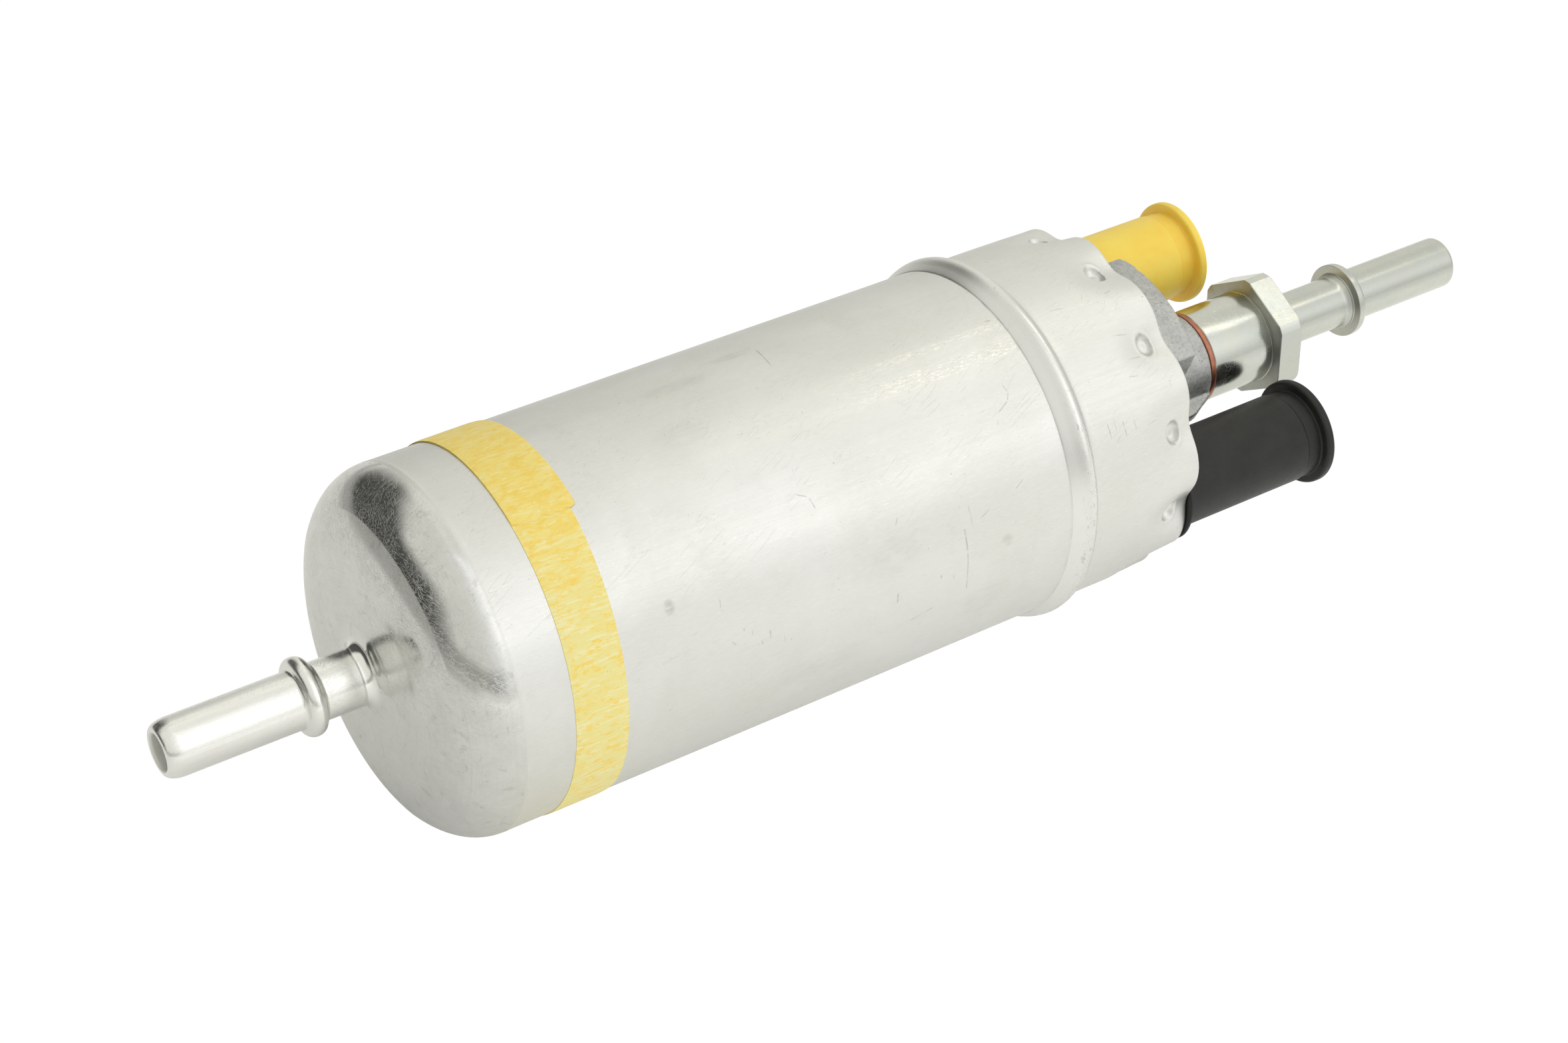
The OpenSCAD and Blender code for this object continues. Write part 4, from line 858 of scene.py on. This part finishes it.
def cover_mesh():
    bm = bmesh.new()
    prism(bm, circle2d(22.8), 51.0, 56.0)
    # raised band between the two terminal pockets: a disc cut by two flats across the terminals' line
    pts = []
    for q in np.linspace(0, 2 * math.pi, 360, endpoint=False):
        y, z = 20.45 * math.cos(q), 20.45 * math.sin(q)
        pts.append((max(-9.7, min(9.7, y)), z))
    clean = [pts[0]]
    for p in pts[1:]:
        if math.hypot(p[0] - clean[-1][0], p[1] - clean[-1][1]) > 1e-3:
            clean.append(p)
    prism(bm, turned2d(clean, TA), 55.0, 66.0)
    prism(bm, circle2d(7.28), 60.0, 77.4)
    # ribs from the boss towards each terminal
    prof = [(5, 60), (10.0, 60), (10.0, 71.6), (9.8, 72.9), (9.2, 74.1), (8.6, 75.2), (8.2, 76.1), (7.65, 77.3), (5, 77.3)]
    for a in (TA, TA + math.pi):
        lo = [bm.verts.new((x, *turned2d([(r, -0.8)], a)[0])) for r, x in prof]
        hi = [bm.verts.new((x, *turned2d([(r, 0.8)], a)[0])) for r, x in prof]
        n = len(lo)
        bm.faces.new(lo)
        bm.faces.new(hi[::-1])
        for i in range(n):
            bm.faces.new((lo[i], hi[i], hi[(i + 1) % n], lo[(i + 1) % n]))
    bmesh.ops.recalc_face_normals(bm, faces=bm.faces)
    me = bpy.data.meshes.new("cover_cast")
    bm.to_mesh(me)
    bm.free()
    ob = bpy.data.objects.new("cover_cast", me)
    scene.collection.objects.link(ob)
    mod = ob.modifiers.new("v", "REMESH")
    mod.mode = "VOXEL"
    mod.voxel_size = 0.24
    mod.adaptivity = 0.0
    sm = ob.modifiers.new("s", "SMOOTH")
    sm.factor = 0.5
    sm.iterations = 5
    dg = bpy.context.evaluated_depsgraph_get()
    done = bpy.data.meshes.new_from_object(ob.evaluated_get(dg))
    ob.modifiers.clear()
    ob.data = done
    bm = bmesh.new()
    bm.from_mesh(done)
    bmesh.ops.delete(bm, geom=[f for f in bm.faces if f.calc_center_median().x < 53.0], context="FACES")
    # sink the face where the washer sits, so that it is flat and clean
    for v in bm.verts:
        if v.co.x > 77.38:
            v.co.x = 77.38
    bmesh.ops.scale(bm, vec=(MM, MM, MM), verts=bm.verts)
    bm.to_mesh(done)
    bm.free()
    done.shade_smooth()
    return ob


cover = cover_mesh()
piece(cover, "pump", M_COVER, "diecast_cover", "end_cover")

# ------------------------------------------------------------------ outlet fitting

washer = revolve("washer_copper", rounded([(77.42, 6.2), (77.42, 7.28), (78.30, 7.24), (78.36, 6.2)], [0.2, 0.2], 4), 160, sharp=50)
piece(washer, "pump", M_COPPER, "copper_washer", "sealing_washer")

barrel = revolve("fitting_barrel", rounded([(78.38, 5.5), (78.38, 6.90), (78.56, 7.06), (89.34, 7.06), (89.44, 6.90), (89.52, 6.90), (89.66, 7.3)], [0.03, 0.04, 0.10, 0.02, 0.08], 5), 256, sharp=35)
piece(barrel, "pump", M_FIT, "zinc_steel", "outlet_fitting")


def hexagon(name, x0, t, af, a0, inner, chamfer_lo, chamfer_hi, corner, soft=0.05, oy=0.0, oz=0.0, n=1440):
    """A hexagonal plate as a surface in polar form: corners turned down to one radius, and broken edges on both faces."""
    a = np.linspace(0, 2 * np.pi, n, endpoint=False)
    q = (a - a0 + np.pi / 6) % (np.pi / 3) - np.pi / 6
    hexr = (af / 2) / np.cos((np.pi / 6) - np.abs(q))
    hexr = soft_min(hexr, np.full_like(hexr, corner), 0.03)
    rows = []
    zs = np.concatenate([[0, 0.02, 0.05, 0.09, 0.14, 0.2, 0.3], np.linspace(0.45, t - 0.45, 4), [t - 0.3, t - 0.2, t - 0.14, t - 0.09, t - 0.05, t - 0.02, t]])
    rows.append((np.zeros(n), np.full(n, inner)))
    rows.append((np.zeros(n), np.full(n, min(chamfer_lo, af / 2) - 1.0)))
    for z in zs:
        cone_lo = chamfer_lo + z / math.tan(math.radians(30))
        cone_hi = chamfer_hi + (t - z) / math.tan(math.radians(30))
        r = soft_min(hexr, np.minimum(cone_lo, cone_hi), soft)
        # broken edges all round
        e = min(z, t - z)
        r = r - 0.10 * max(0.0, 1 - e / 0.10) ** 1.6
        rows.append((np.full(n, z), r))
    rows.append((np.full(n, t), np.full(n, min(chamfer_hi, af / 2) - 1.0)))
    rows.append((np.full(n, t), np.full(n, inner)))
    P = np.array([np.stack([x0 + z, oy + r * np.cos(a), oz + r * np.sin(a)], -1) for z, r in rows])
    return make(name, P.reshape(-1, 3), grid(P), sharp=24)


hexa = hexagon("fitting_hexagon", 89.6, 4.2, 17.05, math.radians(28.5), 4.2, 9.35, 9.10, 9.49)
piece(hexa, "pump", M_HEX, "zinc_steel", "outlet_fitting")

tube_prof = path(
    [(93.7, 4.9), (93.85, 4.62), (94.1, 4.3), (94.5, 4.08), (94.9, 4.0)],
    line(95.5, 4.0, 106.7, 4.0, 6),
    [(107.05, 4.01), (107.4, 4.05), (107.7, 4.14), (107.95, 4.28), (108.1, 4.38), (108.2, 4.40), (108.3, 4.38)],
    rounded([(108.4, 4.4), (108.5, 4.5), (108.5, 5.72), (109.75, 5.72), (109.95, 4.6), (110.3, 4.0)], [0.08, 0.10, 0.45, 0.5], 7),
    line(110.9, 4.0, 129.4, 4.0, 6),
    arc(129.55, 3.35, 0.65, 0.65, 90, 0, 8),
    [(130.2, 3.1), (130.12, 2.9), (129.95, 2.77)],
    line(129.8, 2.75, 100.0, 2.75, 6),
)
tube = revolve("fitting_tube", tube_prof, 200, sharp=40)
piece(tube, "pump", M_TUBE, "zinc_steel", "outlet_fitting")

# ------------------------------------------------------------------ caps


def cap(name, x1, oy, oz, seed, dirt=0.0):
    x0 = 59.15
    prof = path(
        line(x1 - 1.75, 0.0, x1 - 1.75, 5.4, 4),
        [(x1 - 1.9, 5.5)],
        line(x1 - 2.2, 5.5, x0 + 0.3, 5.5, 5),
        rounded([(x0 + 0.25, 5.5), (x0, 5.7), (x0, 7.92), (x0 + 0.42, 7.92), (x0 + 0.60, 6.92), (x0 + 1.75, 6.9), (x0 + 1.85, 6.72), (x1 - 4.1, 6.74), (x1 - 3.85, 6.60), (x1 - 1.62, 6.57),
                 (x1 - 1.42, 6.75), (x1 - 1.36, 7.92), (x1, 7.96), (x1 - 0.02, 6.9)],
                [0.1, 0.12, 0.12, 0.2, 0.15, 0.06, 0.08, 0.10, 0.12, 0.12, 0.50, 0.38, 0.3], 7),
        [(x1 - 0.30, 6.6), (x1 - 0.34, 6.3)],
        line(x1 - 0.34, 5.9, x1 - 0.34, 1.3, 3),
        [(x1 - 0.32, 1.1), (x1 - 0.1, 1.0), (x1 - 0.02, 0.85), (x1, 0.6), (x1, 0.0)],
    )

    def mod(X, R, A):
        w = 1 + 0.0025 * wob(A, seed, 2, 6) + 0.001 * np.sin(X * 0.9 + 3 * A)
        lip = (1 - step(X, x0 + 0.4, x0 + 0.7)) * (R > 7.0)
        # the thin lip of a moulded cap is never quite round
        return X + 0.06 * lip * wob(A, seed + 3, 2, 7), R * w + 0.10 * lip * wob(A, seed + 2, 2, 9)

    return revolve(name, prof, 200, oy, oz, sharp=40, mod=mod)


piece(cap("cap_yellow_skin", 89.7, CY, CZ, 4), "cap_yellow", M_YELLOW, "yellow_plastic", "yellow_cap")
piece(cap("cap_black_skin", 86.8, -CY, -CZ, 9), "cap_black", M_BLACK, "black_plastic", "black_cap")

# ------------------------------------------------------------------ pieces that keep their CAD shape get finished materials

M_STEEL = simple_metal("steel_ground", (0.62, 0.63, 0.65), (0.70, 0.71, 0.72), 0.26)
M_ZINC = plated_steel("terminal_plated", CY, CZ, 0.6)
M_DARK = simple_plastic("plastic_dark", (0.035, 0.035, 0.038), (0.055, 0.055, 0.058), 0.5)
M_RUBBER = simple_plastic("rubber_black", (0.022, 0.022, 0.022), (0.035, 0.035, 0.034), 0.6)
M_SPRING = simple_metal("steel_spring", (0.50, 0.51, 0.53), (0.62, 0.63, 0.64), 0.28, axis_marks=False)
M_BRASS = simple_metal("brass_turned", (0.72, 0.54, 0.26), (0.80, 0.64, 0.34), 0.28)
M_CARBON = simple_metal("carbon_pressed", (0.045, 0.045, 0.05), (0.075, 0.075, 0.08), 0.5, metal=0.3, axis_marks=False)
M_WIRE = wound_wire("copper_wound", (0.42, 0.13, 0.05), (0.78, 0.36, 0.16))
M_COMM = simple_metal("copper_bars", (0.66, 0.32, 0.19), (0.74, 0.40, 0.25), 0.3)
M_LAM = simple_metal("steel_laminated", (0.24, 0.25, 0.27), (0.33, 0.34, 0.36), 0.4)
M_LIGHT = simple_plastic("plastic_light", (0.70, 0.68, 0.58), (0.80, 0.78, 0.70), 0.45)
M_FERR = simple_metal("ferrite_pressed", (0.07, 0.07, 0.075), (0.11, 0.11, 0.115), 0.6, metal=0.2, axis_marks=False)
M_SINT = simple_metal("steel_sintered", (0.36, 0.36, 0.35), (0.46, 0.46, 0.45), 0.42)
M_BRONZE = simple_metal("bronze_sintered", (0.50, 0.35, 0.17), (0.62, 0.46, 0.24), 0.42)
M_MESH = simple_metal("steel_woven", (0.45, 0.46, 0.45), (0.60, 0.61, 0.59), 0.38, scale=2.5, bump=0.08, axis_marks=False)
BY_SLOT = {"black_rubber": M_RUBBER, "zinc_steel": M_ZINC, "brass": M_BRASS, "dark_plastic": M_DARK, "spring_steel": M_SPRING, "carbon": M_CARBON,
           "copper_wire": M_WIRE, "ground_steel": M_STEEL, "lamination_steel": M_LAM, "light_plastic": M_LIGHT, "ferrite": M_FERR, "sintered_steel": M_SINT,
           "bronze": M_BRONZE, "mesh_steel": M_MESH, "can_aluminium": M_CAN, "paper_tape": M_TAPE, "diecast_cover": M_COVER, "copper_washer": M_COPPER,
           "yellow_plastic": M_YELLOW, "black_plastic": M_BLACK}


def spring(node, base, d, e1, e2, r, h, n, wire):
    """A round-wire coil in the place of its CAD node."""
    base, d, e1, e2 = (np.array(v, float) for v in (base, d, e1, e2))
    steps, sides = int(n * 36), 10
    u = np.linspace(0, 1, steps + 1)[:, None]
    q = np.linspace(0, 2 * np.pi, sides, endpoint=False)[None]
    t = 2 * np.pi * n * u
    rr = r + wire * np.cos(q)
    w = wire + (h - 2 * wire) * u + wire * np.sin(q)
    P = base + w[..., None] * d + (rr * np.cos(t))[..., None] * e1 + (rr * np.sin(t))[..., None] * e2
    V = P.reshape(-1, 3)
    k = np.arange(sides)
    last = steps * sides
    V = np.vstack([V, [P[0].mean(0)], [P[-1].mean(0)]])
    T = np.concatenate([np.stack([np.full(sides, len(V) - 2), (k + 1) % sides, k], -1), np.stack([np.full(sides, len(V) - 1), last + k, last + (k + 1) % sides], -1)])
    ob = make(node + "_wire", V, grid(P), T, sharp=60)
    bm = bmesh.new()
    bm.from_mesh(ob.data)
    bmesh.ops.recalc_face_normals(bm, faces=bm.faces)
    bm.to_mesh(ob.data)
    bm.free()
    piece(ob, "pump", M_SPRING, "spring_steel", node)
    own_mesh(ob)


spring("check_valve_spring", (72.0, 0, 0), (1, 0, 0), (0, 1, 0), (0, 0, 1), 2.1, 15.8, 7, 0.3)
ra = math.radians(120)
ry, rz = 20 * math.cos(ra), 20 * math.sin(ra)
spring("relief_spring", (-46.9, ry, rz), (1, 0, 0), (0, math.cos(ra), math.sin(ra)), (0, -math.sin(ra), math.cos(ra)), 1.7, 12.7, 7, 0.3)
for letter, turn in (("a", 0), ("b", math.pi)):
    ba = TA + math.pi / 2 + turn
    c, q = math.cos(ba), math.sin(ba)
    spring("brush_spring_" + letter, (36.45, 17.12 * c, 17.12 * q), (0, c, q), (-1, 0, 0), (0, -q, c), 1.7, 4.2, 4, 0.25)

for s in frame["record"]["subparts"]:
    ob = NODES[s["node"]]
    give(ob, M_COMM if s["node"] == "commutator" else BY_SLOT[s["material_slot"]])

# ------------------------------------------------------------------ floor, light and camera

FLOOR = -27.3


def floor():
    me = bpy.data.meshes.new("floor")
    s = 4.0
    me.from_pydata([(-s, -s, FLOOR * MM), (s, -s, FLOOR * MM), (s, s, FLOOR * MM), (-s, s, FLOOR * MM)], [], [(0, 1, 2, 3)])
    ob = bpy.data.objects.new("floor", me)
    scene.collection.objects.link(ob)
    m = Mat("floor_pale")
    # white close to the part, falling off far behind it on the left
    far = m.remap(m.math("SQRT", m.add(m.mul(m.x, m.x), m.mul(m.y, m.y))), 300, 800, 0, 1, True)
    side = m.remap(m.math("DIVIDE", m.add(m.mul(m.x, -0.75), m.mul(m.y, 0.66)), 800.0), -0.1, 0.6, 0, 1, True)
    dim = m.mul(far, m.add(0.25, m.mul(side, 0.35)))
    keep = m.math("SUBTRACT", 1.0, dim)
    # seen directly the floor is a clean white sweep; what it throws back onto the part is softer, and strongest at the front right
    direct = m.t.nodes.new("ShaderNodeLightPath").outputs["Is Camera Ray"]
    front = m.remap(m.add(m.mul(m.x, 0.64), m.mul(m.y, -0.77)), -110, 170, 0.04, 0.34, True)
    glow = m.lerp(direct, m.mul(keep, front), 1.01)
    white = m.mix(direct, m.mix(dim, (0.90, 0.90, 0.895), (0.3, 0.3, 0.3)), (0.0, 0.0, 0.0))
    give(ob, m.set(color=white, rough=0.9, spec=0.05, emission=(1.0, 1.0, 0.995), emission_strength=glow))


floor()


def area(name, place, aim, size, power, color=(1, 1, 1), size_y=None, along=None):
    li = bpy.data.lights.new(name, "AREA")
    li.shape = "RECTANGLE" if size_y else "SQUARE"
    li.size = size
    if size_y:
        li.size_y = size_y
    li.energy = power
    li.color = color
    ob = bpy.data.objects.new(name, li)
    scene.collection.objects.link(ob)
    ob.location = Vector(place)
    ob.rotation_euler = (Vector(aim) - Vector(place)).to_track_quat("-Z", "Y").to_euler()
    if along:
        # the long side of the light lies this way
        zc = (Vector(place) - Vector(aim)).normalized()
        xc = Vector(along)
        xc = (xc - zc * xc.dot(zc)).normalized()
        ob.rotation_euler = Matrix((xc, zc.cross(xc), zc)).transposed().to_euler()
    ob.visible_camera = False
    return ob


def world():
    """A white studio tent: a tall soft window at the front right, and a dark opening low down at the back left."""
    w = bpy.data.worlds.new("studio")
    scene.world = w
    w.use_nodes = True
    t = w.node_tree
    t.nodes.clear()
    out = t.nodes.new("ShaderNodeOutputWorld")
    bg = t.nodes.new("ShaderNodeBackground")
    t.links.new(bg.outputs[0], out.inputs[0])
    co = t.nodes.new("ShaderNodeTexCoord")
    sep = t.nodes.new("ShaderNodeSeparateXYZ")
    t.links.new(co.outputs["Generated"], sep.inputs[0])

    def m(op, a, b=None, c=None):
        n = t.nodes.new("ShaderNodeMath")
        n.operation = op
        for i, v in enumerate((a, b, c)):
            if v is None:
                continue
            if isinstance(v, bpy.types.NodeSocket):
                t.links.new(v, n.inputs[i])
            else:
                n.inputs[i].default_value = v
        return n.outputs[0]

    def smooth(v, a, b, c=0.0, d=1.0):
        n = t.nodes.new("ShaderNodeMapRange")
        n.interpolation_type = "SMOOTHSTEP"
        t.links.new(v, n.inputs["Value"])
        for k, val in (("From Min", a), ("From Max", b), ("To Min", c), ("To Max", d)):
            n.inputs[k].default_value = val
        return n.outputs["Result"]

    x, y, z = sep.outputs
    h = m("MAXIMUM", m("SQRT", m("ADD", m("MULTIPLY", x, x), m("MULTIPLY", y, y))), 0.001)

    def towards(az):
        """Cosine of the compass angle between this direction and az."""
        q = math.radians(az)
        return m("DIVIDE", m("ADD", m("MULTIPLY", x, math.cos(q)), m("MULTIPLY", y, math.sin(q))), h)

    zd = m("ADD", z, m("MULTIPLY", smooth(towards(105), 0.75, 1.0), 0.10))
    deep = m("ADD", 0.38, smooth(zd, 0.12, 0.20, 0.0, 0.52))
    zt = m("SUBTRACT", z, m("MULTIPLY", smooth(towards(105), 0.70, 1.0), 0.16))
    dark = m("MULTIPLY", m("MULTIPLY", smooth(towards(135), 0.28, 0.78), smooth(zt, 0.70, 0.46)), deep)
    strip = m("MULTIPLY", smooth(towards(222), 0.55, 0.85), m("MULTIPLY", smooth(z, 0.0, 0.05), smooth(z, 0.30, 0.16)))
    # exp(-(1 - c) / 0.10) for the width of the window, exp(-((z - 0.52) / 0.48)^2) for its height
    wide = m("POWER", math.e, m("DIVIDE", m("SUBTRACT", towards(300), 1.0), 0.10))
    broad = m("POWER", math.e, m("DIVIDE", m("SUBTRACT", towards(320), 1.0), 0.60))
    zz = m("DIVIDE", m("SUBTRACT", z, 0.52), 0.48)
    tall = m("POWER", math.e, m("MULTIPLY", m("MULTIPLY", zz, zz), -1.0))
    window = m("MULTIPLY", wide, tall)
    level = m("ADD", m("MULTIPLY", z, 0.12), 0.66)
    level = m("ADD", level, m("MULTIPLY", smooth(towards(60), 0.86, 0.97), 0.10))
    level = m("MULTIPLY", level, m("SUBTRACT", 1.0, dark))
    level = m("MULTIPLY", level, m("SUBTRACT", 1.0, m("MULTIPLY", strip, 0.42)))
    level = m("ADD", level, m("MULTIPLY", window, 0.56))
    level = m("ADD", level, m("MULTIPLY", m("MULTIPLY", broad, tall), 0.17))
    level = m("MULTIPLY", level, 1.10)
    t.links.new(level, bg.inputs["Strength"])
    # warmer from behind and above, cooler from the window
    tone = t.nodes.new("ShaderNodeMix")
    tone.data_type = "RGBA"
    t.links.new(smooth(towards(300), 0.35, 0.97), tone.inputs[0])
    tone.inputs[6].default_value = (1.0, 0.995, 0.925, 1)
    tone.inputs[7].default_value = (1.0, 1.0, 0.975, 1)
    t.links.new(tone.outputs[2], bg.inputs["Color"])


world()
area("top_window", (0.215, -0.012, 0.275), (0.07, -0.01, 0.02), 0.19, 0.040, (1.0, 0.975, 0.885), size_y=0.06, along=(0.106, -0.064, 0.0))

cam = bpy.data.cameras.new("camera")
cam.sensor_fit = "HORIZONTAL"
cam.sensor_width = 36.0
cam.lens = 70.435
cam.clip_start = 0.01
cam.clip_end = 20
co = bpy.data.objects.new("camera", cam)
scene.collection.objects.link(co)
right = Vector((0.82921, -0.55893, 0.0)).normalized()
forward = Vector((0.45838, 0.68004, -0.57223)).normalized()
up = right.cross(forward).normalized()
rot = Matrix((right, up, -forward)).transposed().to_4x4()
co.matrix_world = Matrix.Translation(Vector((-191.758, -292.441, 244.505)) * MM) @ rot
scene.camera = co
scene.view_settings.view_transform = "Standard"
scene.view_settings.look = "None"
scene.view_settings.exposure = 0.0
scene.view_settings.gamma = 1.0

bpy.context.view_layer.update()
